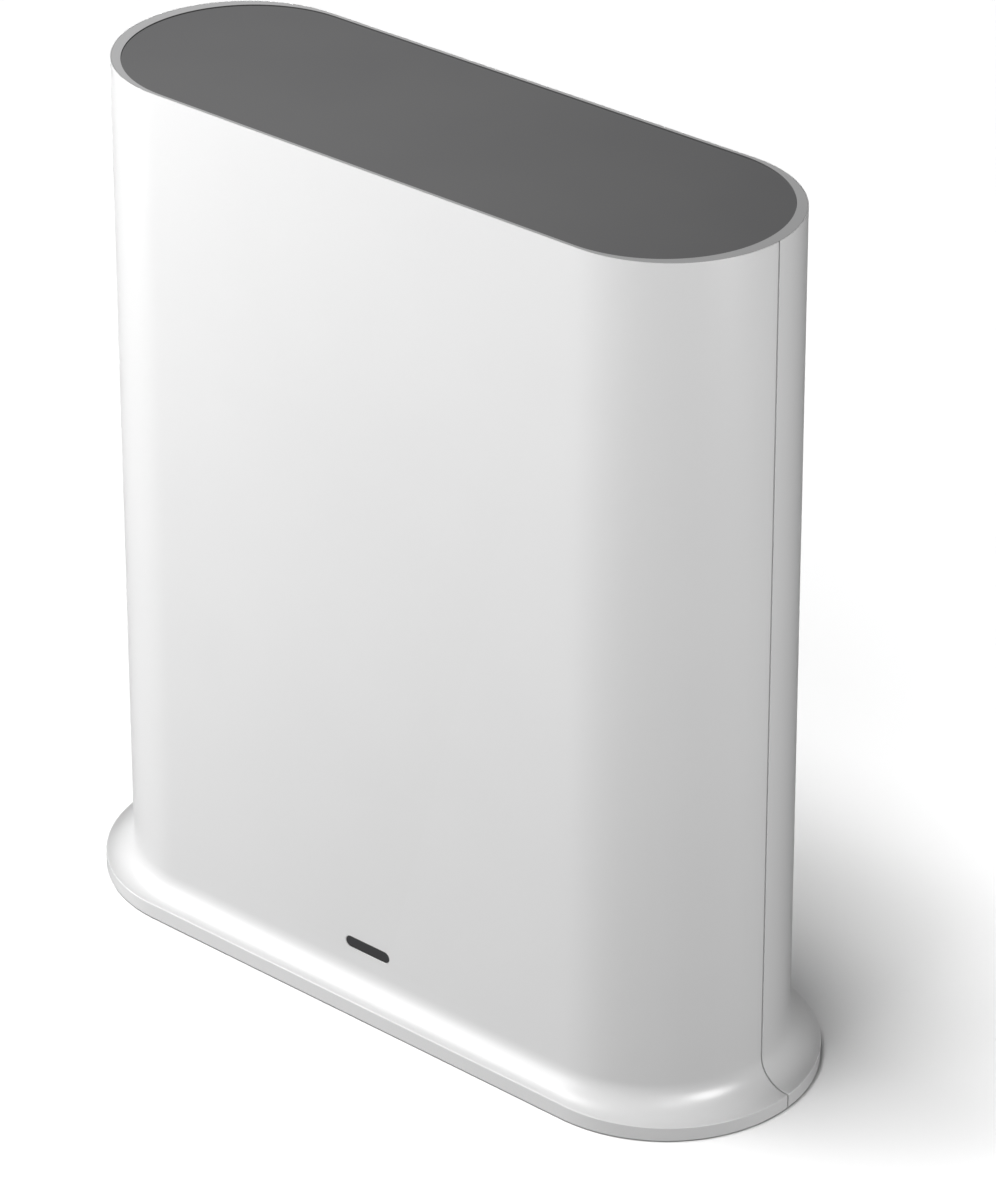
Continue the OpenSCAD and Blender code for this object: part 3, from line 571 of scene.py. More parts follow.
slotShape = {"wide": 9.3, "tall": 2.1, "x": 0.8, "z": 11.5, "lip": 0.08, "shelf": 1.2, "shelfWide": 16.0,
             "shelfIn": 0.6, "shelfDeep": 12.2, "shelfFit": 0.2, "shelfEdge": 0.15}
rib = {"mid": 0.38, "out": 6.0, "drop": 12.0, "root": 1.0, "tall": 1.2, "thick": 1.4, "edge": 0.12}  # stiffeners


def buildFrontCover():
    bm = coverBlank(-1)
    extra = bmesh.new()
    seamStrip(extra, tongue["outer"], tongue["inner"], -tongue["back"], tongue["ahead"], 0)
    screwPosts(extra, -1)
    guide, side = spot("light_guide"), slotShape["shelfWide"] / 2
    wallY = -half(slotShape["z"]) + slotShape["shelfIn"]
    for low in (guide[0].z - slotShape["shelf"], guide[1].z + slotShape["shelfFit"]):
        block(extra, (slotShape["x"] - side, wallY, low),
              (slotShape["x"] + side, wallY + slotShape["shelfDeep"], low + slotShape["shelf"]), slotShape["shelfEdge"])
    low, high = spot("main_board")[2].z, capZ - rib["drop"]
    for x in (-endX - rib["out"], -endX * rib["mid"], endX * rib["mid"], endX + rib["out"]):
        beyond = max(abs(x) - endX, 0)
        wall = [-math.sqrt((half(z) - shell["wall"]) ** 2 - beyond ** 2) for z in (low, high)]
        prism(extra, ((wall[0] - rib["root"], low), (wall[0] + rib["tall"], low), (wall[1] + rib["tall"], high),
                      (wall[1] - rib["root"], high)), x - rib["thick"] / 2, x + rib["thick"] / 2, "x", rib["edge"])
    bm = combine(bm, extra, "UNION")
    cut = bmesh.new()
    wallCut(cut, oval(slotShape["wide"], slotShape["tall"], 16), (slotShape["x"], slotShape["z"]), -1, 4,
            slotShape["lip"])
    lens = spot("status_lens")
    layered(cut, oval(lens[3].x + 0.4, lens[3].z + 0.4, 16), ((lens[0].y + 1, 0), (lens[0].y + 3.2, 0)),
            (lens[2].x, lens[2].z), "y")
    piece("frontCover", combine(bm, cut), whiteGloss, ("front_cover",))


jackShape = {"nose": 8.6, "bore": 6.4, "root": 1.5, "rootIn": 2.0, "floor": 7.0, "leafRoom": 2.4, "leafUp": 4.4,
             "leaf": 0.3}
press = {"across": 7.0, "dish": 0.22, "edge": 0.4, "lip": 9.0, "lipThick": 1.2, "stem": 3.4, "plunger": 3.2,
         "collar": 4.6, "collarThick": 1.2, "switchWide": 6.0, "switchFit": 0.3, "rivet": 2.25}
rearFace = {
    "ventWide": 2.0, "ventTall": 17.0, "ventStep": 4.5, "ventCount": 13, "ventZ": 103.0, "ventLip": 0.35,
    "socketFit": 0.2, "socketLip": 0.3, "buttonFit": 0.3, "pinhole": 1.8, "tubeWall": 1.4, "buttonTube": 5.7,
}
stripPegs = {"inZ": 7.0, "outX": 22.0}  # where the pegs go through the antenna strips
boardHold = {"inX": 4.0, "inZ": 6.0}  # where the screws go through the board, from its edges


def boardScrewSpots(board):
    x, z0, z1 = board[3].x / 2 - boardHold["inX"], board[0].z + boardHold["inZ"], board[1].z - boardHold["inZ"]
    return [(-x, z0), (-x, z1), (x, z0), (x, z1)]


def buttonTubeEnd(z):
    return half(z) - shell["wall"] - rearFace["buttonTube"]


# a moulded post on the rear wall with its melted peg through an antenna strip
def stripPost(bm, x, z, strip):
    back, front, far = strip[1].y, strip[0].y, half(z)
    turned(bm, ((0, front - 0.6), (0.8, front - 0.55), (1.35, front - 0.35), (1.6, front - 0.1), (1.6, front),
                (0.9, front), (0.9, back), (2.1, back), (2.3, back + 0.2), (2.3, far), (0, far)), (x, z), "y", 28)


# trims what stands on the rear wall, so that it ends inside the wall
def withinWall(bm, inset):
    room = bmesh.new()
    rays = [(endX, 0, 1, 0)] + quarterRays(1)
    rays += [(-x, y, -ux, uy) for x, y, ux, uy in reversed(rays)]
    rings = []
    for z in (plateZ, capZ):
        edge = [along(ray, reach(ray, endX, half(z) - inset), z) for ray in rays]
        edge += [Vector((edge[-1].x, -shell["depth"], z)), Vector((edge[0].x, -shell["depth"], z))]
        rings.append([room.verts.new(p) for p in edge])
    closeRings(room, rings)
    return combine(bm, room, "INTERSECT")


def buildRearCover():
    bm = coverBlank(1)
    groove = bmesh.new()
    seamStrip(groove, tongue["outer"] - tongue["fit"], tongue["inner"] + 1, -0.5, tongue["ahead"] + tongue["fit"],
              tongue["fit"])
    bm = combine(bm, groove)
    extra = bmesh.new()
    screwPosts(extra, 1)
    board = spot("main_board")
    for x, z in boardScrewSpots(board):
        y, far = board[1].y, half(z)
        turned(extra, ((0, y + 8), (1.1, y + 8), (1.1, y), (2.7, y), (3, y + 0.3), (3, far), (0, far)), (x, z), "y")
    for node in ("wifi_antenna_left", "wifi_antenna_right"):
        strip = spot(node)
        for z in (strip[0].z + stripPegs["inZ"], strip[1].z - stripPegs["inZ"]):
            stripPost(extra, strip[2].x, z, strip)
    bar = spot("camera_antenna")
    for x in (-stripPegs["outX"], stripPegs["outX"]):
        stripPost(extra, x, bar[2].z, bar)
    button, reset = spot("sync_button"), spot("reset_plunger")
    buttonHole = press["across"] + 2 * rearFace["buttonFit"]
    tubeEnd = buttonTubeEnd(button[2].z)
    layered(extra, disc(buttonHole + 2 * rearFace["tubeWall"]), ((tubeEnd, -0.2), (tubeEnd + 0.2, 0),
            (half(button[2].z) - 1.1, 0)), (button[2].x, button[2].z), "y")
    layered(extra, disc(rearFace["pinhole"] + 2 * rearFace["tubeWall"]), ((reset[1].y + 1.5, -0.2),
            (reset[1].y + 1.7, 0), (half(reset[2].z) - 1.1, 0)), (reset[2].x, reset[2].z), "y")
    bm = combine(bm, withinWall(extra, shell["wall"] / 2), "UNION")
    cut = bmesh.new()
    fit, lip = rearFace["socketFit"], rearFace["socketLip"]
    net, usb, jack = spot("ethernet_shell"), spot("usb_shell"), spot("power_jack")
    wallCut(cut, roundedBox(net[3].x + 2 * fit, net[3].z + 2 * fit, 0.4), (net[2].x, net[2].z), 1, 4, lip)
    wallCut(cut, roundedBox(usb[3].x + 2 * fit, usb[3].z + 2 * fit, 0.5), (usb[2].x, usb[2].z), 1, 4, lip)
    wallCut(cut, disc(jackShape["nose"] + 2 * fit, 48), (jack[2].x, jack[2].z), 1, 4, lip)
    wallCut(cut, disc(buttonHole, 48), (button[2].x, button[2].z), 1, 9, lip)
    wallCut(cut, disc(rearFace["pinhole"], 24), (reset[2].x, reset[2].z), 1, half(reset[2].z) - reset[1].y - 1, 0.25)
    for i in range(rearFace["ventCount"]):
        x = rowAt(i, rearFace["ventCount"], rearFace["ventStep"])
        wallCut(cut, upright(oval(rearFace["ventTall"], rearFace["ventWide"], 10)), (x, rearFace["ventZ"]), 1, 4,
                rearFace["ventLip"])
    piece("rearCover", combine(bm, cut), whiteGloss, ("rear_cover",))


buildFrontCover()
buildRearCover()
print("stage 3: covers")


# top cap with its light grey rim, and the dark panel let into it
cap = {"fit": 0.02, "edge": 0.03, "rimEnd": 2.0, "rimSide": 0.65, "sink": 0.2, "panel": 0.8, "panelFit": 0.03,
       "panelEdge": 0.06, "clipX": 30.0, "clipWide": 8.0, "ribThick": 1.5}


def wholePath(cx):
    right = quarterRays(1)
    lower = [(x, y, ux, -uy) for x, y, ux, uy in reversed(right)]
    side = [(cx, 0, 0, 1)] if cx < endX else []
    rightHalf = [(s[0], 0, 0, -1) for s in side] + lower + [(endX, 0, 1, 0)] + right + side
    return rightHalf + [(-x, y, -ux, -uy) for x, y, ux, uy in rightHalf]


def ringAt(bm, path, cx, r, z):
    return [bm.verts.new(along(ray, reach(ray, cx, r), z)) for ray in path]


def buildTop():
    panelLong = shell["length"] - 2 * cap["rimEnd"]
    panelDeep = shell["depth"] - 2 * cap["rimSide"]
    cx, r = (panelLong - panelDeep) / 2, panelDeep / 2
    path = wholePath(cx)
    e, fit = cap["edge"], cap["fit"]
    floorZ = top - cap["sink"] - cap["panel"]
    bm = bmesh.new()
    closeRings(bm, [
        ringAt(bm, path, endX, capHalf(capZ) - fit, capZ),
        ringAt(bm, path, endX, capHalf(top - e) - fit, top - e),
        ringAt(bm, path, endX, capHalf(top) - fit - arcMid * e, top - arcMid * e),
        ringAt(bm, path, endX, capHalf(top) - fit - e, top),
        ringAt(bm, path, cx, r + e, top),
        ringAt(bm, path, cx, r + arcMid * e, top - arcMid * e),
        ringAt(bm, path, cx, r, top - e),
        ringAt(bm, path, cx, r, floorZ),
    ])
    under = bmesh.new()
    clipY = half(capZ) - shell["wall"] - 0.2
    for x in (-cap["clipX"], cap["clipX"]):
        for s in (-1, 1):
            outline = ((clipY - 1.5, capZ + 0.5), (clipY - 1.5, capZ - 8.2), (clipY, capZ - 8.2),
                       (clipY + 1, capZ - 6.3), (clipY + 1, capZ - 5.5), (clipY, capZ - 5.5), (clipY, capZ + 0.5))
            prism(under, [(s * y, z) for y, z in outline], x - cap["clipWide"] / 2, x + cap["clipWide"] / 2, "x", 0.1)
    outer, inner = [oval(shell["length"] - 45 - less, shell["depth"] - 19 - less, 24)
                    for less in (0, cap["ribThick"] * 2)]
    hoop(under, [[under.verts.new((u, v, z)) for u, v in shape()]
                 for shape, z in ((outer, capZ + 0.5), (outer, capZ - 2), (inner, capZ - 2), (inner, capZ + 0.5))])
    piece("topCap", combine(bm, under, "UNION"), rimGrey, ("top_cap",))
    bm = bmesh.new()
    e = cap["panelEdge"]
    r -= cap["panelFit"]
    closeRings(bm, [ringAt(bm, path, cx, r - inset, z) for inset, z in (
        (0.1, floorZ), (0, floorZ + 0.1), (0, top - cap["sink"] - e), (arcMid * e, top - cap["sink"] - arcMid * e),
        (e, top - cap["sink"]))])
    piece("topPanel", bm, panelGrey, ("top_panel",))


buildTop()
print("stage 4: top")


# bottom plate, rubber feet and the screws
floorPlate = {"edge": 0.25, "ring": 1.4, "ringTall": 1.8, "boss": 9.0, "headRoom": 6.0, "screwRoom": 3.2,
              "ventLong": 20.0, "ventWide": 3.0, "ventStep": 6.0, "ventCount": 7, "ventLip": 0.4, "foot": 4.95}
# thread across, length under the head, head across, head tall
screwSizes = {"base": (2.8, 11, 5.6, 1.8), "board": (2.2, 8, 4.4, 1.7)}


def buildBottom():
    plate = spot("base_plate")
    low, high = plate[0].z, plateZ
    bm = bmesh.new()
    layered(bm, oval(plate[3].x, plate[3].y, 40), softEnds(low, high, floorPlate["edge"]))
    extra = bmesh.new()
    ringHalf = half(plateZ) - shell["wall"] - 0.4
    for s, t in fourWays:
        layered(extra, disc(floorPlate["boss"]), ((high - 0.5, 0), (post["low"] - 0.2, 0), (post["low"], -0.2)),
                (t * post["x"], s * post["y"]))
    ring = oval(2 * (endX + ringHalf), 2 * ringHalf, 40)
    thick, ringTop = floorPlate["ring"], high + floorPlate["ringTall"]
    hoop(extra, [[extra.verts.new((u, v, z)) for u, v in ring(grow)]
                 for grow, z in ((0, high - 0.5), (0, ringTop), (-thick, ringTop), (-thick, high - 0.5))])
    bm = combine(bm, extra, "UNION")
    cut = bmesh.new()
    seat = spot("base_screws")[0].z + screwSizes["base"][3]
    r, hole = floorPlate["headRoom"] / 2, floorPlate["screwRoom"] / 2
    feet, foot = spot("rubber_feet"), floorPlate["foot"]
    footSpots = [(s * (feet[1].x - foot), t * (feet[1].y - foot)) for s, t in fourWays]
    for (s, t), footSpot in zip(fourWays, footSpots):
        turned(cut, ((0, -1), (r + 0.3, -1), (r + 0.3, low), (r, low + 0.3), (r, seat), (hole, seat),
                     (hole, 9), (0, 9)), (s * post["x"], t * post["y"]))
        turned(cut, ((0, -1), (foot + 0.25, -1), (foot + 0.25, low), (foot + 0.05, low + 0.2), (foot + 0.05, feet[1].z),
                     (0, feet[1].z)), footSpot, "z", 48)
    lip = floorPlate["ventLip"]
    for i in range(floorPlate["ventCount"]):
        x = rowAt(i, floorPlate["ventCount"], floorPlate["ventStep"])
        layered(cut, upright(oval(floorPlate["ventLong"], floorPlate["ventWide"], 12)), ((-1, lip), (low - 0.02, lip),
                (low + arcMid * lip, arcMid * lip), (low + lip, 0), (9, 0)), (x, 0))
    piece("bottomPlate", combine(bm, cut), baseGrey, ("base_plate",))
    bm = bmesh.new()
    for footSpot in footSpots:  # a shallow ring is moulded into each sole
        turned(bm, ((0, 0), (2.9, 0), (3.1, 0.15), (3.6, 0.15), (3.8, 0), (foot - 0.4, 0), (foot - 0.12, 0.12),
                    (foot, 0.4), (foot, feet[1].z), (0, feet[1].z)), footSpot, "z", 48)
    piece("rubberFeet", bm, rubberBlack, ("rubber_feet",))


# a pan-head screw with a cross recess and a cut thread, head down
def screwPattern(across, long, headAcross, headTall):
    r, h = across / 2, headAcross / 2
    section = [(0, 0), (0.55 * h, 0), (0.82 * h, 0.12 * headTall), (0.96 * h, 0.36 * headTall), (h, 0.7 * headTall),
               (h, headTall), (0.86 * r, headTall)]
    pitch = 0.36 * across
    turns = int((long - across / 2) / pitch)
    for i in range(turns):
        z = headTall + pitch * (i + 0.25)
        section += [(0.8 * r, z), (r, z + 0.42 * pitch), (r, z + 0.5 * pitch)]
    section += [(0.8 * r, headTall + long - across / 2), (0, headTall + long)]
    bm = bmesh.new()
    turned(bm, section, steps=28)
    cut = bmesh.new()
    arm, wide, deep = 0.3 * headAcross, 0.06 * headAcross, 0.6 * headTall
    block(cut, (-arm, -wide, -1), (arm, wide, deep))
    block(cut, (-wide, -arm, -1.2), (wide, arm, deep))
    bm = combine(bm, cut)
    settle(bm)
    return bm


def buildScrews():
    base = spot("base_screws")
    bm = bmesh.new()
    stamped(bm, screwPattern(*screwSizes["base"]), [
        Matrix.Translation((s * post["x"], t * post["y"], base[0].z)) @ Matrix.Rotation(0.4 * s + t, 4, "Z")
        for s, t in fourWays])
    piece("baseScrews", bm, zincSteel, ("base_screws",))
    held, head = spot("board_screws"), screwSizes["board"][2] / 2
    bm = bmesh.new()
    stamped(bm, screwPattern(*screwSizes["board"]), [
        Matrix.Translation((x, held[0].y, z)) @ Matrix.Rotation(-math.pi / 2, 4, "X") @ Matrix.Rotation(x + z, 4, "Z")
        for x in (held[0].x + head, held[1].x - head) for z in (held[0].z + head, held[1].z - head)])
    piece("boardScrews", bm, zincSteel, ("board_screws",))


buildBottom()
buildScrews()
print("stage 5: bottom")


# status light low on the front: window, light guide and lamp
lamp = {"windowEdge": 0.12, "flange": 1.15, "guideEdge": 0.12, "dish": 2.2}


def buildStatusLight():
    lens = spot("status_lens")
    front, back, e = lens[0].y, lens[1].y, lamp["windowEdge"]
    bm = bmesh.new()
    layered(bm, oval(lens[3].x - 2 * lamp["flange"], lens[3].z - 2 * lamp["flange"], 16),
            ((front + 0.02, -e), (front + 0.02 + arcMid * e, -arcMid * e), (front + e, 0), (front + 1, 0),
             (front + 1, lamp["flange"]), (back, lamp["flange"])), (lens[2].x, lens[2].z), "y")
    piece("statusWindow", bm, smokedWindow, ("status_lens",))
    guide, led = spot("light_guide"), spot("status_led")
    wide, narrow = guide[3].x / 2, led[3].x / 2
    x, e = guide[2].x, lamp["guideEdge"]
    bm = bmesh.new()
    prism(bm, ((x - wide, guide[0].y), (x + wide, guide[0].y), (x + wide, guide[0].y + 2), (x + narrow, guide[1].y),
               (x - narrow, guide[1].y), (x - wide, guide[0].y + 2)), guide[0].z, guide[1].z, "z", e)
    piece("lightGuide", bm, clearAcrylic, ("light_guide",))
    bm = bmesh.new()
    block(bm, led[0], led[1], 0.12)
    cut = bmesh.new()
    r, floor = lamp["dish"] / 2, led[0].y + 0.25 * led[3].y
    turned(cut, ((0, led[0].y - 1), (r, led[0].y - 1), (r, led[0].y), (0.75 * r, floor), (0, floor)),
           (led[2].x, led[2].z), "y")
    piece("statusLamp", combine(bm, cut), naturalNylon, ("status_led",))
    bm = bmesh.new()
    turned(bm, ((0, floor), (0.74 * r, floor), (0.86 * r, floor - 0.22), (0.5 * r, floor - 0.28), (0, floor - 0.3)),
           (led[2].x, led[2].z), "y")
    piece("lampGel", bm, lightGelTone)


buildStatusLight()
print("stage 6: status light")

# rear sockets
socket = {"sheet": 0.3, "mouthWide": 12.0, "mouthTall": 7.2, "latchWide": 6.4, "latchDeep": 1.8, "latchSlim": 4.0,
          "latchSlimDeep": 2.7, "mouthDeep": 13.5, "lightX": 5.3, "lightWide": 2.8, "lightTall": 2.0, "lightDrop": 1.7,
          "wires": 8, "wireStep": 1.02, "wireWide": 0.44, "legs": 8, "legStep": 1.27, "tongueWide": 11.1,
          "dataPins": (-3.5, -1, 1, 3.5)}


def networkMouth(grow):
    a, b = socket["mouthWide"] / 2 + grow, socket["mouthTall"] / 2 + grow
    c, d = socket["latchWide"] / 2 + grow, socket["mouthTall"] / 2 + socket["latchDeep"] + grow
    e, f = socket["latchSlim"] / 2 + grow, socket["mouthTall"] / 2 + socket["latchSlimDeep"] + grow
    right = [(e, -f), (e, -d), (c, -d), (c, -b), (a, -b), (a, b)]
    return right + [(-u, v) for u, v in reversed(right)]


def buildNetworkSocket():
    case, core = spot("ethernet_shell"), spot("ethernet_insert")
    x, z, mouth = case[2].x, case[2].z, case[1].y
    lightZ = z - socket["mouthTall"] / 2 - socket["lightDrop"]
    bm = bmesh.new()
    block(bm, case[0], case[1], 0.25)
    cut = bmesh.new()
    block(cut, (core[0].x, case[0].y - 1, core[0].z), (core[1].x, mouth - socket["sheet"], core[1].z))
    layered(cut, networkMouth, ((mouth - 2, 0.15), (mouth - 0.12, 0.15), (mouth + 0.02, 0.29), (mouth + 1, 0.29)),
            (x, z), "y")
    window = roundedBox(socket["lightWide"] + 0.3, socket["lightTall"] + 0.3, 0.25)
    for s in (-1, 1):
        layered(cut, window, ((mouth - 2, 0), (mouth + 1, 0)), (x + s * socket["lightX"], lightZ), "y")
        block(cut, (x + s * 5 - 1.1, mouth - 9, case[0].z - 1), (x + s * 5 + 1.1, mouth - 5.4, case[0].z + 0.2))
    bm = combine(bm, cut)
    for s in (-1, 1):  # ground springs in the top of the case
        prism(bm, ((mouth - 9, core[1].z - 0.02), (mouth - 9, core[1].z + 0.18), (mouth - 5, core[1].z + 0.24),
                   (mouth - 5, core[1].z + 0.04)), x + s * 4.6 - 0.9, x + s * 4.6 + 0.9, "x")
    piece("networkCase", bm, tinPlate, ("ethernet_shell",))
    bm = bmesh.new()
    block(bm, core[0], core[1], 0.1)
    cut = bmesh.new()
    layered(cut, networkMouth, ((mouth - socket["mouthDeep"], 0), (mouth + 1, 0)), (x, z), "y")
    for s in (-1, 1):
        layered(cut, roundedBox(socket["lightWide"], socket["lightTall"], 0.2), ((mouth - 6, 0), (mouth + 1, 0)),
                (x + s * socket["lightX"], lightZ), "y")
    roof = z + socket["mouthTall"] / 2
    for i in range(socket["wires"]):  # comb slots behind the wires
        wire = x + rowAt(i, socket["wires"], socket["wireStep"])
        block(cut, (wire - 0.3, mouth - 11.5, roof - 0.5), (wire + 0.3, mouth - 1.8, roof + 0.5))
    piece("networkInsert", combine(bm, cut), blackNylon, ("ethernet_insert",))
    bm = bmesh.new()
    y = mouth - 1
    for i in range(socket["wires"]):
        wire = x + rowAt(i, socket["wires"], socket["wireStep"])
        path = rounded(((wire, y, roof - 0.22), (wire, y - 2.6, roof - 0.22), (wire, y - 9.3, roof - 2.15)), 0.8)
        tube(bm, path, socket["wireWide"], 10)
    piece("networkWires", bm, goldPlate, ("ethernet_contacts",))
    bm = bmesh.new()
    for s in (-1, 1):
        layered(bm, roundedBox(socket["lightWide"], socket["lightTall"], 0.2), ((mouth - 6, 0), (mouth - 0.35, 0),
                (mouth - 0.2, -0.15)), (x + s * socket["lightX"], lightZ), "y")
    piece("networkLights", bm, clearAcrylic, ("ethernet_lights",))
    coil = spot("ethernet_transformer")
    bm = bmesh.new()
    block(bm, (coil[0].x, coil[0].y + 0.3, coil[0].z + 0.9), (coil[1].x, coil[1].y, coil[1].z - 0.9), 0.3)
    piece("networkTransformer", bm, chipEpoxy, ("ethernet_transformer",))
    bm = bmesh.new()
    for i in range(socket["legs"]):
        leg = coil[2].x + rowAt(i, socket["legs"], socket["legStep"])
        for s in (-1, 1):
            gullLeg(bm, leg, coil[2].z, s, coil[3].z / 2 - 0.9, coil[3].z / 2, coil[0].y, 2.2, 0.4)
    piece("transformerLegs", bm, tinPlate)


# a bent leg from a package's side down to the board's rear face
def gullLeg(bm, x, z, s, inner, outer, y, rise, wide, thick=0.2):
    side = [(0, rise), (0.45 * (outer - inner), rise), (0.5 * (outer - inner), 0.05), (outer - inner, 0.05)]
    upper = [(a, b + thick) for a, b in side[:2]] + [(side[2][0] + thick, thick), (side[3][0], thick)]
    outline = [(y + max(b, 0), z + s * (inner + a)) for a, b in side + upper[::-1]]
    prism(bm, outline, x - wide / 2, x + wide / 2, "x")


def buildDataSocket():
    case, tongueBox, pins = spot("usb_shell"), spot("usb_tongue"), spot("usb_contacts")
    x, z, mouth, back = case[2].x, case[2].z, case[1].y, case[0].y
    outer, thick = roundedBox(case[3].x, case[3].z, 0.6, 5), socket["sheet"]
    bm = bmesh.new()
    levels = ((back, 0), (mouth - 0.15, 0), (mouth, -0.1), (mouth, -thick + 0.05), (mouth - 0.2, -thick),
              (back, -thick))
    hoop(bm, [[bm.verts.new(lay("y", (x, z), u, v, h)) for u, v in outer(grow)] for h, grow in levels])
    cut = bmesh.new()
    for s, t in fourWays:
        window = (x + s * case[3].x / 4, z + t * case[3].z / 2)
        block(cut, (window[0] - 1, mouth - 8, window[1] - 1), (window[0] + 1, mouth - 5.2, window[1] + 1))
    bm = combine(bm, cut)
    for s, t in fourWays:  # spring tongues, bent into the socket
        face, across = z + t * (case[3].z / 2), x + s * case[3].x / 4
        side = ((mouth - 8.1, face - t * 0.05), (mouth - 8.1, face - t * 0.28), (mouth - 6.2, face - t * 0.75),
                (mouth - 5.3, face - t * 0.4), (mouth - 5.3, face - t * 0.18), (mouth - 6.2, face - t * 0.5))
        prism(bm, side, across - 0.8, across + 0.8, "x")
    piece("dataCase", bm, tinPlate, ("usb_shell",))
    bm = bmesh.new()
    block(bm, tongueBox[0], (tongueBox[1].x, tongueBox[0].y + 6, tongueBox[1].z), 0.12)
    side = socket["tongueWide"] / 2
    extra = bmesh.new()
    block(extra, (x - side, tongueBox[0].y + 5, pins[1].z), (x + side, tongueBox[1].y, pins[1].z + 1.8), 0.3)
    piece("dataTongue", combine(bm, extra, "UNION"), blackNylon, ("usb_tongue",))
    bm = bmesh.new()
    for k in socket["dataPins"]:
        block(bm, (x + k - 0.5, pins[0].y, pins[0].z), (x + k + 0.5, pins[1].y, pins[1].z), 0.06)
    piece("dataContacts", bm, goldPlate, ("usb_contacts",))


def buildPowerSocket():
    body, pin, leaf = spot("power_jack"), spot("power_pin"), spot("power_spring")
    x, z, mouth, back = body[2].x, body[2].z, body[1].y, body[0].y
    step = half(z) - shell["wall"] - 1.2
    floor = back + jackShape["floor"]
    r, bore, root = jackShape["nose"] / 2, jackShape["bore"] / 2, jackShape["root"] / 2
    bm = bmesh.new()
    block(bm, body[0], (body[1].x, step, body[1].z), 0.35)
    extra = bmesh.new()
    turned(extra, ((0, step - 1), (r, step - 1), (r, mouth - 0.35), (r - 0.1, mouth - 0.1), (r - 0.35, mouth),
                   (0, mouth)), (x, z), "y", 48)
    bm = combine(bm, extra, "UNION")
    cut = bmesh.new()
    turned(cut, ((0, back + jackShape["rootIn"]), (root, back + jackShape["rootIn"]), (root, floor), (bore, floor),
                 (bore, mouth - 0.4), (bore + 0.12, mouth - 0.12), (bore + 0.4, mouth + 0.02), (bore + 0.4, mouth + 1),
                 (0, mouth + 1)), (x, z), "y", 48)
    room = jackShape["leafRoom"] / 2
    block(cut, (x - room, floor, z + 1), (x + room, step - 0.3, z + jackShape["leafUp"]))
    piece("powerSocket", combine(bm, cut), blackNylon, ("power_jack",))
    bm = bmesh.new()
    p, tip = pin[3].x / 2, pin[1].y
    turned(bm, ((0, pin[0].y), (root, pin[0].y), (root, floor), (p, floor), (p, tip - 0.75), (0.92 * p, tip - 0.45),
                (0.72 * p, tip - 0.18), (0.5 * p, tip - 0.04), (0, tip)), (x, z), "y", 28)
    piece("powerPin", bm, tinPlate, ("power_pin",))
    bm = bmesh.new()
    y, up, low, t = leaf[0].y, leaf[1].z, leaf[0].z, jackShape["leaf"]
    prism(bm, ((y, up), (y, up - t), (y + 2.2, up - t), (y + 2.7, up - 0.5 * t - 0.35), (y + 3.7, low + 0.1),
               (y + 4.1, low), (y + 4.5, low + 0.1), (y + 5.2, up - 3 * t), (y + 5.2, up - 2 * t),
               (y + 4.5, low + 0.42), (y + 4.1, low + t), (y + 3.7, low + 0.42), (y + 2.9, up - t * 0.4),
               (y + 2.4, up)), leaf[0].x, leaf[1].x, "x", 0.04)
    piece("powerSpring", bm, goldPlate, ("power_spring",))


buildNetworkSocket()
buildDataSocket()
buildPowerSocket()
print("stage 7: sockets")


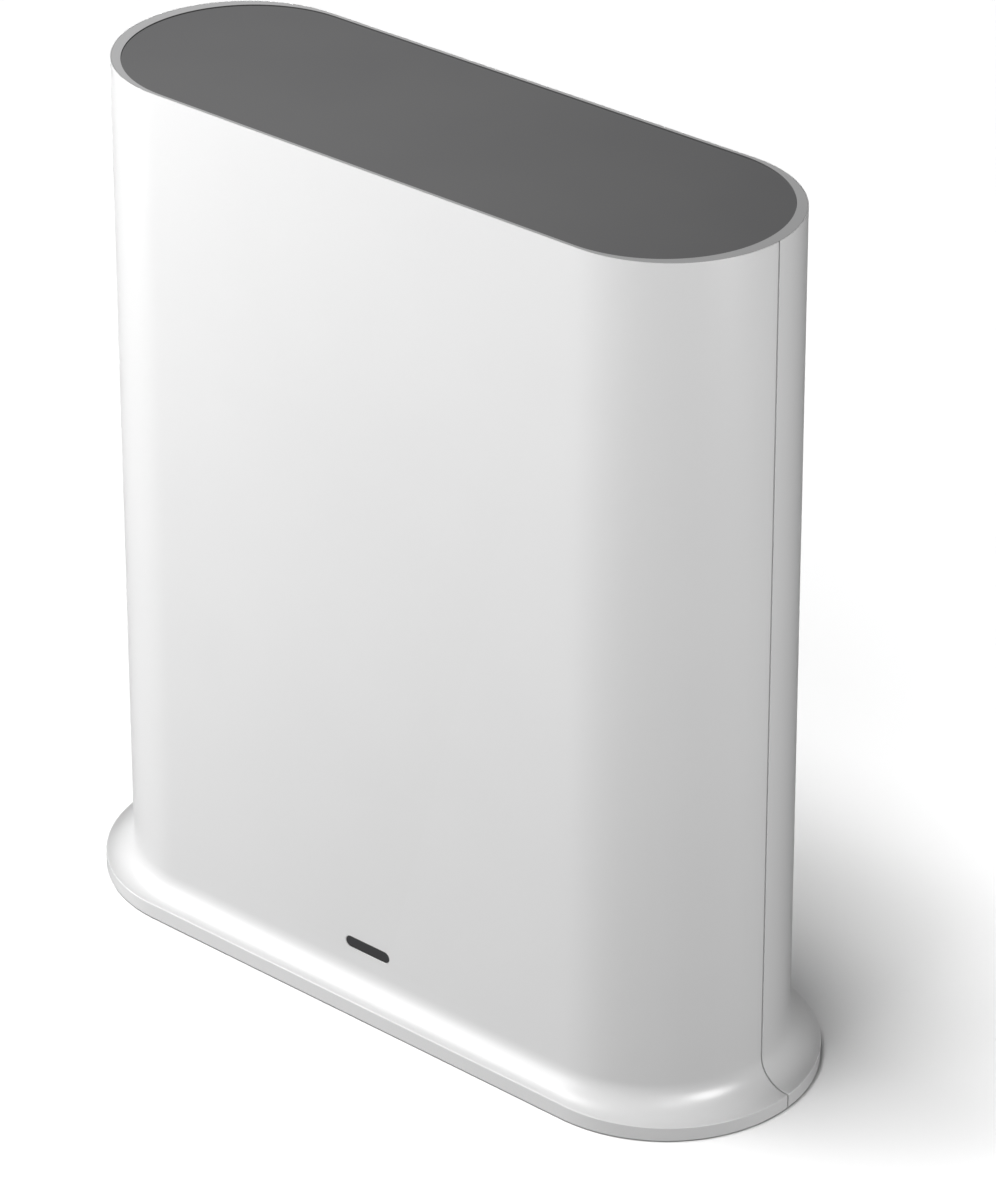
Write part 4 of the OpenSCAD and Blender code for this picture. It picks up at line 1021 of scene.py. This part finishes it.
# sync button, reset plunger and their two switches
def buildPressParts():
    button, base = spot("sync_button"), spot("switch_bodies")
    x, z, face = button[2].x, button[2].z, button[1].y
    r, e, dish = press["across"] / 2, press["edge"], press["dish"]
    stem, lip, root = press["stem"] / 2, press["lip"] / 2, button[0].y
    tubeEnd = buttonTubeEnd(z)
    lipLow = tubeEnd - press["lipThick"]
    bm = bmesh.new()
    turned(bm, ((0, root), (stem - 0.15, root), (stem, root + 0.15), (stem, lipLow), (lip - 0.2, lipLow),
                (lip, lipLow + 0.2), (lip, tubeEnd), (r, tubeEnd), (r, face - e), (r - 0.12, face - 0.12),
                (r - e, face), (0.8 * r, face - 0.02), (0.5 * r, face - 0.6 * dish), (0.25 * r, face - 0.9 * dish),
                (0, face - dish)), (x, z), "y", 48)
    piece("syncButton", bm, whiteGloss, ("sync_button",), "sync")
    p, c, fit = press["plunger"] / 2, press["collar"] / 2, press["switchFit"]
    for name, node, body in (("syncPlunger", "sync_plunger", "sync"), ("resetPlunger", "reset_plunger", "reset")):
        part = spot(node)
        low, high, collar = part[0].y, part[1].y, part[0].y + press["collarThick"]
        bm = bmesh.new()
        turned(bm, ((0, low), (c - 0.15, low), (c, low + 0.15), (c, collar), (p, collar), (p, high - 0.2),
                    (p - 0.06, high - 0.06), (p - 0.2, high), (0, high)), (part[2].x, part[2].z), "y")
        piece(name, bm, orangeNylon, (node,), body)
    places = [(spot(node)[2].x, spot(node)[2].z) for node in ("sync_plunger", "reset_plunger")]
    wide, deep, high = press["switchWide"] / 2, base[0].y, base[1].y
    bm = bmesh.new()
    cut = bmesh.new()
    for x, z in places:
        block(bm, (x - wide, deep, z - wide), (x + wide, high, z + wide), 0.2)
        turned(cut, ((0, deep + 0.6), (c + fit, deep + 0.6), (c + fit, high + 1), (0, high + 1)), (x, z), "y")
    piece("switchBodies", combine(bm, cut), blackNylon, ("switch_bodies",))
    cover = spot("switch_covers")
    bm = bmesh.new()
    cut = bmesh.new()
    for x, z in places:
        layered(bm, roundedBox(2 * wide, 2 * wide, 0.5), softEnds(cover[0].y, cover[1].y, 0.06), (x, z), "y")
        turned(cut, ((0, deep), (p + fit, deep), (p + fit, high + 2), (0, high + 2)), (x, z), "y")
    bm = combine(bm, cut)
    lid = cover[1].y
    for x, z in places:
        for s, t in fourWays:  # rivet heads at the corners
            turned(bm, ((0, lid - 0.02), (0.4, lid - 0.02), (0.36, lid + 0.1), (0.18, lid + 0.18), (0, lid + 0.2)),
                   (x + press["rivet"] * s, z + press["rivet"] * t), "y", 14)
    piece("switchCovers", bm, tinPlate, ("switch_covers",))


buildPressParts()
print("stage 8: buttons")


# main board with its tracks, pads and small parts
boardShape = {"corner": 2.0, "edge": 0.1, "screwHole": 2.6, "trackHigh": 0.05, "trackWide": 0.28, "padIn": 1.4,
              "padFront": 2.6, "padRear": 2.55, "padHigh": 0.02}
sinkPin = {"head": 2.7, "hole": 3.1}


# the sink's two pins, at opposite corners
def sinkPinSpots():
    pins, r = spot("heat_sink_pins"), sinkPin["head"]
    return [(pins[1].x - r, pins[1].z - r), (pins[0].x + r, pins[0].z + r)]


def buildBoard():
    board = spot("main_board")
    low, high = board[0].y, board[1].y
    screws = boardScrewSpots(board)
    bm = bmesh.new()
    layered(bm, roundedBox(board[3].x, board[3].z, boardShape["corner"], 8), softEnds(low, high, boardShape["edge"]),
            (board[2].x, board[2].z), "y")
    cut = bmesh.new()
    for spots, across in ((screws, boardShape["screwHole"]), (sinkPinSpots(), sinkPin["hole"])):
        for hole in spots:
            layered(cut, disc(across), ((low - 1, 0), (high + 1, 0)), hole, "y")
    piece("mainBoard", combine(bm, cut), greenMask, ("main_board",))
    bm = bmesh.new()
    inner = boardShape["padIn"]
    for hole in screws:  # tinned rings round the screw holes, on the rear face under the posts' edge
        for face, out, outer in ((low, -1, boardShape["padFront"]), (high, 1, boardShape["padRear"])):
            raised = face + out * boardShape["padHigh"]
            hoop(bm, [[bm.verts.new(lay("y", hole, u, v, h)) for u, v in disc(2 * r)()]
                      for r, h in ((inner, face), (inner, raised), (outer, raised), (outer, face))])
    piece("screwPads", bm, tinPlate)
    return board


# a flat copper track on the board's front face through some points
def track(bm, points, y, wide):
    for (x0, z0), (x1, z1) in zip(points, points[1:]):
        long = math.hypot(x1 - x0, z1 - z0)
        ax, az = (x1 - x0) / long, (z1 - z0) / long
        sx, sz = -az * wide / 2, ax * wide / 2
        x0, z0, x1, z1 = x0 - ax * wide / 3, z0 - az * wide / 3, x1 + ax * wide / 3, z1 + az * wide / 3
        outline = [(x0 + sx, z0 + sz), (x0 - sx, z0 - sz), (x1 - sx, z1 - sz), (x1 + sx, z1 + sz)]
        prism(bm, outline, y - boardShape["trackHigh"], y, "y")


def buildTracks(board):
    y = board[0].y
    ram, flash, lampBox, sink = spot("ram_chip"), spot("flash_chip"), spot("status_led"), spot("heat_sink")
    lampTop, ramTop, thin = lampBox[1].z, ram[1].z, boardShape["trackWide"]
    bm = bmesh.new()
    for i in range(14):  # memory bus from under the sink
        x = ram[0].x + 0.9 + i * (ram[3].x - 1.8) / 13
        track(bm, ((x, ramTop), (x, ramTop + 2), (x + 2.4, ramTop + 4.4), (x + 2.4, sink[0].z + 8)), y, thin)
    for i in range(8):  # storage bus
        z = flash[0].z + 1.2 + i * (flash[3].z - 2.4) / 7
        x = ram[0].x - 3 - 0.7 * i
        track(bm, ((flash[1].x, z), (x, z), (x, sink[0].z + 4)), y, thin)
    for i in range(3):  # to the status lamp
        x = lampBox[2].x - 1.2 + 1.2 * i
        track(bm, ((x, lampTop + 0.4), (x, lampTop + 6), (x + 9, lampTop + 15), (x + 9, sink[0].z - 9)), y, 0.4)
    for s, node in ((-1, "wifi_shield"), (1, "camera_radio_shield")):
        can = spot(node)
        for i in range(6):
            z = can[0].z + 3 + i * 2.2
            track(bm, ((s * (abs(can[2].x) - 10), z), (s * 21, z)), y, 0.3)
    piece("boardTracks", bm, copperWire)
    bodies, ends = bmesh.new(), bmesh.new()
    rows = [(-40 + 4.2 * i, 24.0 + 3.5 * (i % 2), i) for i in range(19) if abs(-40 + 4.2 * i - 9) > 5]
    rows += [(s * 24 + 3.4 * k, 57.5 - 2.6 * (k % 2), k) for s in (-1, 1) for k in (-1, 0, 1)]
    rows += [(-36 + 3.1 * i, 108.5, i) for i in range(22)]
    for x, z, i in rows:  # small chip parts lying on the front face
        long, wide, tall = (1.6, 0.8, 0.45) if i % 3 else (2.0, 1.25, 0.8)
        core = 0.34 * long
        block(bodies, (x - core, y - tall, z - wide / 2 + 0.02), (x + core, y, z + wide / 2 - 0.02), 0.05, 1)
        for s in (-1, 1):
            a, b = sorted((x + s * core, x + s * 0.5 * long))
            block(ends, (a, y - tall, z - wide / 2), (b, y, z + wide / 2), 0.06, 1)
    piece("smallChipParts", bodies, ceramicTan)
    piece("smallChipEnds", ends, tinPlate)
    bm = bmesh.new()
    net, usb, jack = spot("ethernet_shell"), spot("usb_shell"), spot("power_jack")
    joints = [(net[2].x - 3.6 + socket["wireStep"] * i, net[2].z + (1.3 if i % 2 else -1.3))
              for i in range(socket["wires"])]
    joints += [(net[2].x + s * 7, net[2].z) for s in (-1, 1)]
    joints += [(usb[2].x + k, usb[2].z) for k in socket["dataPins"] + (-5.8, 5.8)]
    joints += [(jack[2].x + k, jack[2].z + v) for k, v in ((0, 3.4), (0, -3.4), (3.2, 0))]
    for x, z in joints:  # solder on the pins that come through from the sockets
        turned(bm, ((0, y + 0.02), (0.62, y + 0.02), (0.45, y - 0.2), (0.27, y - 0.5), (0.24, y - 0.8),
                    (0.14, y - 0.9), (0, y - 0.92)), (x, z), "y", 14)
    piece("solderJoints", bm, tinPlate)


buildTracks(buildBoard())
print("stage 9: board")

# chips, shields and the power parts
parts = {"chipEdge": 0.12, "dot": 0.9, "canCorner": 0.5, "canSheet": 0.2, "canHole": 1.0, "canHoleStep": 3.2}


# a moulded package with a dimple at its first corner
def package(name, node, coat=None, inset=0.0):
    box = spot(node)
    bm = bmesh.new()
    block(bm, (box[0].x + inset, box[0].y, box[0].z), (box[1].x - inset, box[1].y, box[1].z), parts["chipEdge"])
    cut = bmesh.new()
    r, y = parts["dot"] / 2, box[0].y
    turned(cut, ((0, y - 0.5), (r, y - 0.5), (r, y), (0.3, y + 0.08), (0, y + 0.08)),
           (box[0].x + inset + 1.2, box[1].z - 1.2), "y", 20)
    piece(name, combine(bm, cut), coat or chipEpoxy, (node,))


def buildChips():
    cpu = spot("processor")
    bm = bmesh.new()
    mid = cpu[1].y - 0.8
    block(bm, (cpu[0].x, mid, cpu[0].z), cpu[1], 0.06)
    lid = bmesh.new()
    block(lid, (cpu[0].x + 2, cpu[0].y, cpu[0].z + 2), (cpu[1].x - 2, mid + 0.2, cpu[1].z - 2), 0.2)
    piece("processorChip", combine(bm, lid, "UNION"), chipEpoxy, ("processor",))
    package("memoryChip", "ram_chip")
    package("storageChip", "flash_chip", inset=0.9)
    package("wifiChip", "wifi_chip")
    package("cameraRadioChip", "camera_radio_chip")
    flash = spot("flash_chip")
    bm = bmesh.new()
    for i in range(12):
        z = flash[0].z + 0.8 + i * (flash[3].z - 1.6) / 11
        for s in (-1, 1):
            edge, foot, y = flash[2].x + s * (flash[3].x / 2 - 0.95), flash[2].x + s * flash[3].x / 2, flash[1].y
            outline = ((edge, y - 0.5), (edge + 0.4 * s, y - 0.5), (edge + 0.55 * s, y - 0.13), (foot, y - 0.13),
                       (foot, y), (edge + 0.42 * s, y), (edge + 0.28 * s, y - 0.38), (edge, y - 0.38))
            prism(bm, outline, z - 0.16, z + 0.16, "z")
    piece("storageLegs", bm, tinPlate)
    pad = spot("thermal_pad")
    bm = bmesh.new()
    bulge = ((pad[0].y, -0.1), (pad[0].y + 0.15, 0.05), (pad[2].y, 0.12), (pad[1].y - 0.15, 0.05), (pad[1].y, -0.1))
    layered(bm, roundedBox(pad[3].x, pad[3].z, 0.6), bulge, (pad[2].x, pad[2].z), "y")
    piece("coolingPad", bm, softPad, ("thermal_pad",))


def buildShields():
    for name, node in (("wifiShield", "wifi_shield"), ("cameraRadioShield", "camera_radio_shield")):
        box = spot(node)
        t = parts["canSheet"]
        bm = bmesh.new()
        block(bm, box[0], box[1], parts["canCorner"], 3)
        cut = bmesh.new()
        block(cut, (box[0].x + t, box[0].y + t, box[0].z + t), (box[1].x - t, box[1].y + 2, box[1].z - t),
              parts["canCorner"] - t, 3)
        block(cut, (box[0].x - 1, box[1].y - 0.5, box[0].z - 1), (box[1].x + 1, box[1].y + 1, box[1].z + 1))
        holes = bmesh.new()
        for i in range(-2, 3):
            for j in (-1, 1):
                layered(holes, disc(parts["canHole"], 20), ((box[0].y - 1, 0), (box[0].y + 1, 0)),
                        (box[2].x + i * parts["canHoleStep"], box[2].z + j * parts["canHoleStep"]), "y")
        bm = combine(combine(bm, cut), holes)
        frameLow = box[1].y - 0.9
        fence = bmesh.new()  # fence soldered to the board, which the lid snaps over
        block(fence, (box[0].x + t, frameLow, box[0].z + t), (box[1].x - t, box[1].y, box[1].z - t), 0.1)
        inside = bmesh.new()
        block(inside, (box[0].x + 2.4 * t, frameLow - 1, box[0].z + 2.4 * t),
              (box[1].x - 2.4 * t, box[1].y + 1, box[1].z - 2.4 * t))
        stampInto(bm, combine(fence, inside))
        piece(name, bm, tinPlate, (node,))


def stampInto(bm, other):
    stamped(bm, other, [Matrix.Identity(4)])
    other.free()


sinkShape = {"fins": 11, "finThick": 1.4, "finTip": 1.0, "base": 3.0, "pinRoom": 8.0}


def buildSink():
    sink, pins, board = spot("heat_sink"), spot("heat_sink_pins"), spot("main_board")
    back, root, tip = sink[1].y, sink[1].y - sinkShape["base"], sink[0].y
    stepX = (sink[3].x - sinkShape["finThick"]) / 10.4
    outline = [(sink[1].x, back), (sink[0].x, back), (sink[0].x, root)]
    for i in range(sinkShape["fins"]):
        x = sink[2].x + rowAt(i, sinkShape["fins"], stepX)
        a, b = sinkShape["finThick"] / 2, sinkShape["finTip"] / 2
        outline += [(x - a - 0.3, root), (x - a, root - 0.3), (x - b, tip + 0.2), (x - b + 0.2, tip),
                    (x + b - 0.2, tip), (x + b, tip + 0.2), (x + a, root - 0.3), (x + a + 0.3, root)]
    outline.append((sink[1].x, root))
    bm = bmesh.new()
    prism(bm, outline, sink[0].z, sink[1].z, "z")
    spots, r, hole = sinkPinSpots(), sinkShape["pinRoom"] / 2, sinkPin["hole"] / 2
    cut = bmesh.new()
    for x, z in spots:
        turned(cut, ((0, tip - 1), (r, tip - 1), (r, root), (hole, root), (hole, back + 1), (0, back + 1)), (x, z), "y")
    piece("heatSink", combine(bm, cut), finAluminium, ("heat_sink",), crease=20)
    bm = bmesh.new()
    slits = bmesh.new()
    head, far, r = pins[0].y, board[1].y, sinkPin["head"]
    for x, z in spots:
        turned(bm, ((0, head), (1.9, head), (2.5, head + 0.25), (r, head + 0.7), (r, root), (1.45, root), (1.45, far),
                    (2.0, far), (2.0, far + 1.2), (1.0, far + 2.4), (0, far + 2.4)), (x, z), "y")
        block(slits, (x - 0.3, far - 0.8, z - 3), (x + 0.3, far + 4, z + 3))
        block(slits, (x - 1.6, head - 1, z - 0.3), (x + 1.6, head + 0.6, z + 0.3))
    piece("sinkPins", combine(bm, slits), naturalNylon, ("heat_sink_pins",))


def buildPowerParts():
    cans = spot("capacitors")
    r, low, high = cans[3].z / 2, cans[0].y, cans[1].y
    places = [(cans[0].x + r, cans[2].z), (cans[1].x - r, cans[2].z)]
    bm = bmesh.new()
    cut = bmesh.new()
    for x, z in places:
        turned(bm, ((0, low + 0.9), (r - 0.25, low + 0.9), (r, low + 1.1), (r, low + 1.6), (r - 0.28, low + 1.9),
                    (r - 0.28, low + 2.1), (r, low + 2.4), (r, high - 0.35), (r - 0.1, high - 0.1), (r - 0.35, high),
                    (0, high)), (x, z), "y", 40)
        for a in (0, 60, 120):  # vent scores across the top
            bar = bmesh.new()
            block(bar, (-2.3, high - 0.1, -0.08), (2.3, high + 1, 0.08))
            bar.transform(Matrix.Translation((x, 0, z)) @ Matrix.Rotation(math.radians(a), 4, "Y"))
            stampInto(cut, bar)
    piece("capacitorCans", combine(bm, cut), finAluminium, ("capacitors",))
    bm = bmesh.new()
    for x, z in places:
        layered(bm, roundedBox(6.1, 6.1, 0.9, 3), softEnds(low, low + 0.95, 0.1), (x, z), "y")
    piece("capacitorBases", bm, blackNylon)
    coil = spot("power_inductor")
    x, z, y = coil[2].x, coil[2].z, coil[0].y
    bm = bmesh.new()
    layered(bm, roundedBox(coil[3].x, coil[3].z, 1.2, 4), softEnds(y, y + 1, 0.12), (x, z), "y")
    rim = coil[1].y
    turned(bm, ((0, y + 0.95), (2.3, y + 0.95), (2.3, rim - 0.8), (3.05, rim - 0.8), (3.2, rim - 0.65),
                (3.2, rim - 0.15), (3.05, rim), (0, rim)), (x, z), "y", 40)
    piece("powerCoilCore", bm, chipEpoxy, ("power_inductor",))
    bm = bmesh.new()
    wire, turns, steps, r = 0.42, 5, 24, 2.72
    path = []
    for i in range(turns * steps + 1):  # one helix of enamelled wire between the flanges
        a = 2 * math.pi * i / steps
        path.append(Vector((x + r * math.cos(a), y + 1.22 + 0.4 * a / (2 * math.pi) * 0.72, z + r * math.sin(a))))
    tube(bm, path, wire, 8)
    piece("powerCoilWire", bm, copperWire)
    clocks = spot("crystals")
    base, lids = bmesh.new(), bmesh.new()
    wide, low, high = 5.0, clocks[0].y, clocks[1].y
    lidLevels = ((low, -0.3), (low + 0.09, -0.09), (low + 0.3, 0), (high - 0.5, 0), (high - 0.46, 0.12),
                 (high - 0.44, 0.12))
    for x in (clocks[0].x + wide / 2, clocks[1].x - wide / 2):
        layered(base, roundedBox(wide, clocks[3].z, 0.35), softEnds(high - 0.45, high, 0.06), (x, clocks[2].z), "y")
        layered(lids, roundedBox(wide - 0.5, clocks[3].z - 0.5, 0.7), lidLevels, (x, clocks[2].z), "y")
    piece("crystalBases", base, ceramicTan)
    piece("crystalLids", lids, tinPlate, ("crystals",))


buildChips()
buildShields()
buildSink()
buildPowerParts()
print("stage 10: chips and power parts")


# antennas, their leads and plugs
aerial = {"edge": 0.06, "lead": 1.2, "bend": 3.0, "peg": 1.8, "line": 0.9, "lineOut": 2.6, "seat": 2.6, "plug": 1.4}


def strip(name, node, pegs, runs):
    box = spot(node)
    bm = bmesh.new()
    layered(bm, roundedBox(box[3].x, box[3].z, 0.5), softEnds(box[0].y, box[1].y, aerial["edge"]),
            (box[2].x, box[2].z), "y")
    cut = bmesh.new()
    for x, z in pegs:
        layered(cut, disc(aerial["peg"], 24), ((box[0].y - 1, 0), (box[1].y + 1, 0)), (x, z), "y")
    piece(name, combine(bm, cut), greenMask, (node,))
    bm = bmesh.new()
    for points in runs:
        track(bm, points, box[0].y, aerial["line"])
    piece(name + "Copper", bm, goldPlate)


# a coaxial lead along the board and then up, towards side s
def bentLead(name, node, s):
    lead = spot(node)
    y, z = lead[2].y, lead[0].z + aerial["lead"] / 2
    near, far = (lead[0].x, lead[1].x) if s > 0 else (lead[1].x, lead[0].x)
    up = far - s * aerial["lead"] / 2
    bm = bmesh.new()
    tube(bm, rounded(((near, y, z), (up, y, z), (up, y, lead[1].z)), aerial["bend"], 10), aerial["lead"])
    piece(name, bm, leadJacket, (node,))


def buildAntennas():
    out, pegZ, pegX = aerial["lineOut"], stripPegs["inZ"], stripPegs["outX"]
    for side, s in (("Left", -1), ("Right", 1)):
        node = "wifi_antenna_" + side.lower()
        box = spot(node)
        x, low, high = box[2].x, box[0].z, box[1].z
        zig = [(x + s * 2.4 * (-1) ** (i // 2), low + 12.5 + 1.9 * ((i + 1) // 2)) for i in range(8)]
        strip("wifiAntenna" + side, node, [(x, low + pegZ), (x, high - pegZ)],
              [[(x - s * 2.3, low + 12.5), *zig], [(x + s * out, low + 22), (x + s * out, high - 2)],
               [(x - s * out, high - 20), (x - s * out, high - 2), (x + s * out, high - 2)]])
        bentLead("wifiLead" + side, node.replace("antenna", "lead"), s)
    bar = spot("camera_antenna")
    x, z = bar[2].x, bar[2].z
    strip("cameraAntenna", "camera_antenna", [(x - pegX, z), (x + pegX, z)],
          [[(x - 19, z + out), (x - 2, z + out), (x - 2, z - out), (x - 19, z - out)],
           [(x + 19, z + out), (x + 4, z + out)], [(x + 4, z - out), (x + 19, z - out), (x + 19, z + out)]])
    bentLead("cameraLead", "camera_lead", 1)


def buildPlugs():
    seats, caps = spot("antenna_sockets"), spot("antenna_plugs")
    board, lead, across = spot("main_board")[1].y, spot("camera_lead"), aerial["seat"]
    plugX = seats[1].x - across / 2
    wingZ, cameraZ = seats[0].z + across / 2, seats[1].z - across / 2
    places = [(-plugX, wingZ, -1), (plugX, wingZ, 1), (lead[0].x - 3, cameraZ, 1)]
    bm = bmesh.new()
    for x, z, s in places:
        layered(bm, roundedBox(across, across, 0.3), softEnds(board, board + 0.5, 0.06), (x, z), "y")
        turned(bm, ((0, board + 0.45), (1, board + 0.45), (1, board + 0.7), (0.9, board + 0.8), (1, board + 0.95),
                    (0.9, seats[1].y), (0, seats[1].y)), (x, z), "y", 24)
    piece("antennaSockets", bm, goldPlate, ("antenna_sockets",))
    low, high, r = caps[0].y, caps[1].y, aerial["plug"]
    bm = bmesh.new()
    for x, z, s in places:
        plug = bmesh.new()
        turned(plug, ((0, low), (1.2, low), (r, low + 0.25), (r, high - 0.3), (1.25, high - 0.08), (1.0, high),
                      (0, high)), (x, z), "y", 28)
        ferrule = bmesh.new()
        tube(ferrule, [Vector((x + s * d, lead[2].y, z)) for d in (0.6, 1.6, 3.0)], 1.6, 16)
        stampInto(bm, combine(plug, ferrule, "UNION"))
    piece("antennaPlugs", bm, goldPlate, ("antenna_plugs",))


buildAntennas()
buildPlugs()
print("stage 11: antennas")

# pale paper floor; soft lights on the object, others on the floor and the flat top
studio = {"floor": 3.0, "room": 0.08, "backdrop": 0.96, "aim": 0.06}
objectLights = {
    "leftLow": {"turn": 210, "up": 8, "far": 0.38, "size": 0.16, "watts": 0.82},
    "leftHigh": {"turn": 240, "up": 52, "far": 0.38, "size": 0.16, "watts": 0.56},
    "rightLow": {"turn": 0, "up": 8, "far": 0.38, "size": 0.16, "watts": 0.36},
    "cornerLow": {"turn": 330, "up": 8, "far": 0.38, "size": 0.16, "watts": 0.12},
    "cornerSoft": {"turn": 330, "up": 30, "far": 0.38, "size": 0.16, "watts": 0.25},
    "frontFill": {"turn": 240, "up": 12, "far": 1.5, "size": 0.8, "watts": 8.0},
    "cornerGlint": {"turn": 350, "up": 12, "far": 0.38, "size": 0.16, "watts": 0.7, "glossOnly": True},
    "frontGlint": {"turn": 225, "up": 28, "far": 0.38, "size": 0.26, "watts": 1.0, "glossOnly": True},
}
rearLights = {
    "rearFill": {"turn": 131, "up": -15, "far": 1.5, "size": 0.6, "watts": 20.0},  # through the floor
}
topLights = {
    "topSoft": {"turn": 180, "up": 74, "far": 0.38, "size": 0.16, "watts": 0.98},
}
floorLights = {
    "floorNear": {"turn": 300, "up": 52, "far": 0.38, "size": 0.16, "watts": 0.6},
    "floorLeft": {"turn": 195, "up": 70, "soft": 14, "strength": 0.93},
    "floorHigh": {"turn": 195, "up": 80, "soft": 14, "strength": 0.69},
    "floorMain": {"turn": 225, "up": 70, "soft": 14, "strength": 0.69},
    "floorFront": {"turn": 255, "up": 70, "soft": 14, "strength": 1.1},
    "floorLift": {"turn": 0, "up": 90, "soft": 24, "strength": 0.08, "shadow": False},
}


def setFloor():
    mesh = bpy.data.meshes.new("paleFloor")
    bm = bmesh.new()
    bmesh.ops.create_circle(bm, cap_ends=True, radius=studio["floor"], segments=96)
    bm.to_mesh(mesh)
    bm.free()
    floor = bpy.data.objects.new("paleFloor", mesh)
    scene.collection.objects.link(floor)
    mesh.materials.append(finish("floorPaper", ((0.86, 0.86, 0.86), (0.87, 0.87, 0.87)), 200, 4, (0.85, 0.95), 0.01))
    floor.visible_diffuse = False  # no light thrown back up onto the object
    floor.visible_glossy = False
    world = bpy.data.worlds.new("studioRoom")
    world.use_nodes = True
    tree = world.node_tree
    room = tree.nodes["Background"]
    room.inputs["Color"].default_value = (1, 1, 1, 1)
    seen = addNode(tree, "LightPath").outputs["Is Camera Ray"]  # pale behind the floor, dim as light
    tree.links.new(spread(tree, seen, studio["room"], studio["backdrop"], 0, 1), room.inputs["Strength"])
    scene.world = world
    scene.view_settings.view_transform = "Standard"
    return floor


def setLights(lights, lit, blockers=None):
    for name, light in lights.items():
        if "soft" in light:
            data = bpy.data.lights.new(name, "SUN")
            data.angle = math.radians(light["soft"])
            data.energy = light["strength"]
        else:
            data = bpy.data.lights.new(name, "AREA")
            data.shape = "DISK"
            data.size = light["size"]
            data.energy = light["watts"]
        data.use_shadow = light.get("shadow", True)
        turn, up = math.radians(light["turn"]), math.radians(light["up"])
        back = Vector((math.cos(turn) * math.cos(up), math.sin(turn) * math.cos(up), math.sin(up)))
        softbox = bpy.data.objects.new(name, data)
        softbox.location = Vector((0, 0, studio["aim"])) + back * light.get("far", 1)
        softbox.rotation_euler = back.to_track_quat("Z", "Y").to_euler()
        softbox.light_linking.receiver_collection = lit
        softbox.light_linking.blocker_collection = blockers
        softbox.visible_diffuse = not light.get("glossOnly", False)
        scene.collection.objects.link(softbox)


def lightGroup(name, members, state):
    group = bpy.data.collections.new(name)
    for member in members:
        group.objects.link(member)
    for held in group.collection_objects:
        held.light_linking.link_state = state
    return group


def lightAll(floor):
    for cover in ("frontCover", "rearCover"):
        bpy.data.objects[cover].visible_diffuse = False  # nor from the covers onto each other or the floor
    flatTop = [bpy.data.objects["topCap"], bpy.data.objects["topPanel"]]
    allButFlat = lightGroup("allButFlat", [floor, *flatTop], "EXCLUDE")
    setLights(objectLights, allButFlat)
    setLights(rearLights, allButFlat, allButFlat)
    setLights(topLights, lightGroup("onlyTop", flatTop, "INCLUDE"))
    setLights(floorLights, lightGroup("onlyFloor", [floor], "INCLUDE"))


lightAll(setFloor())
print("stage 12: floor and light")
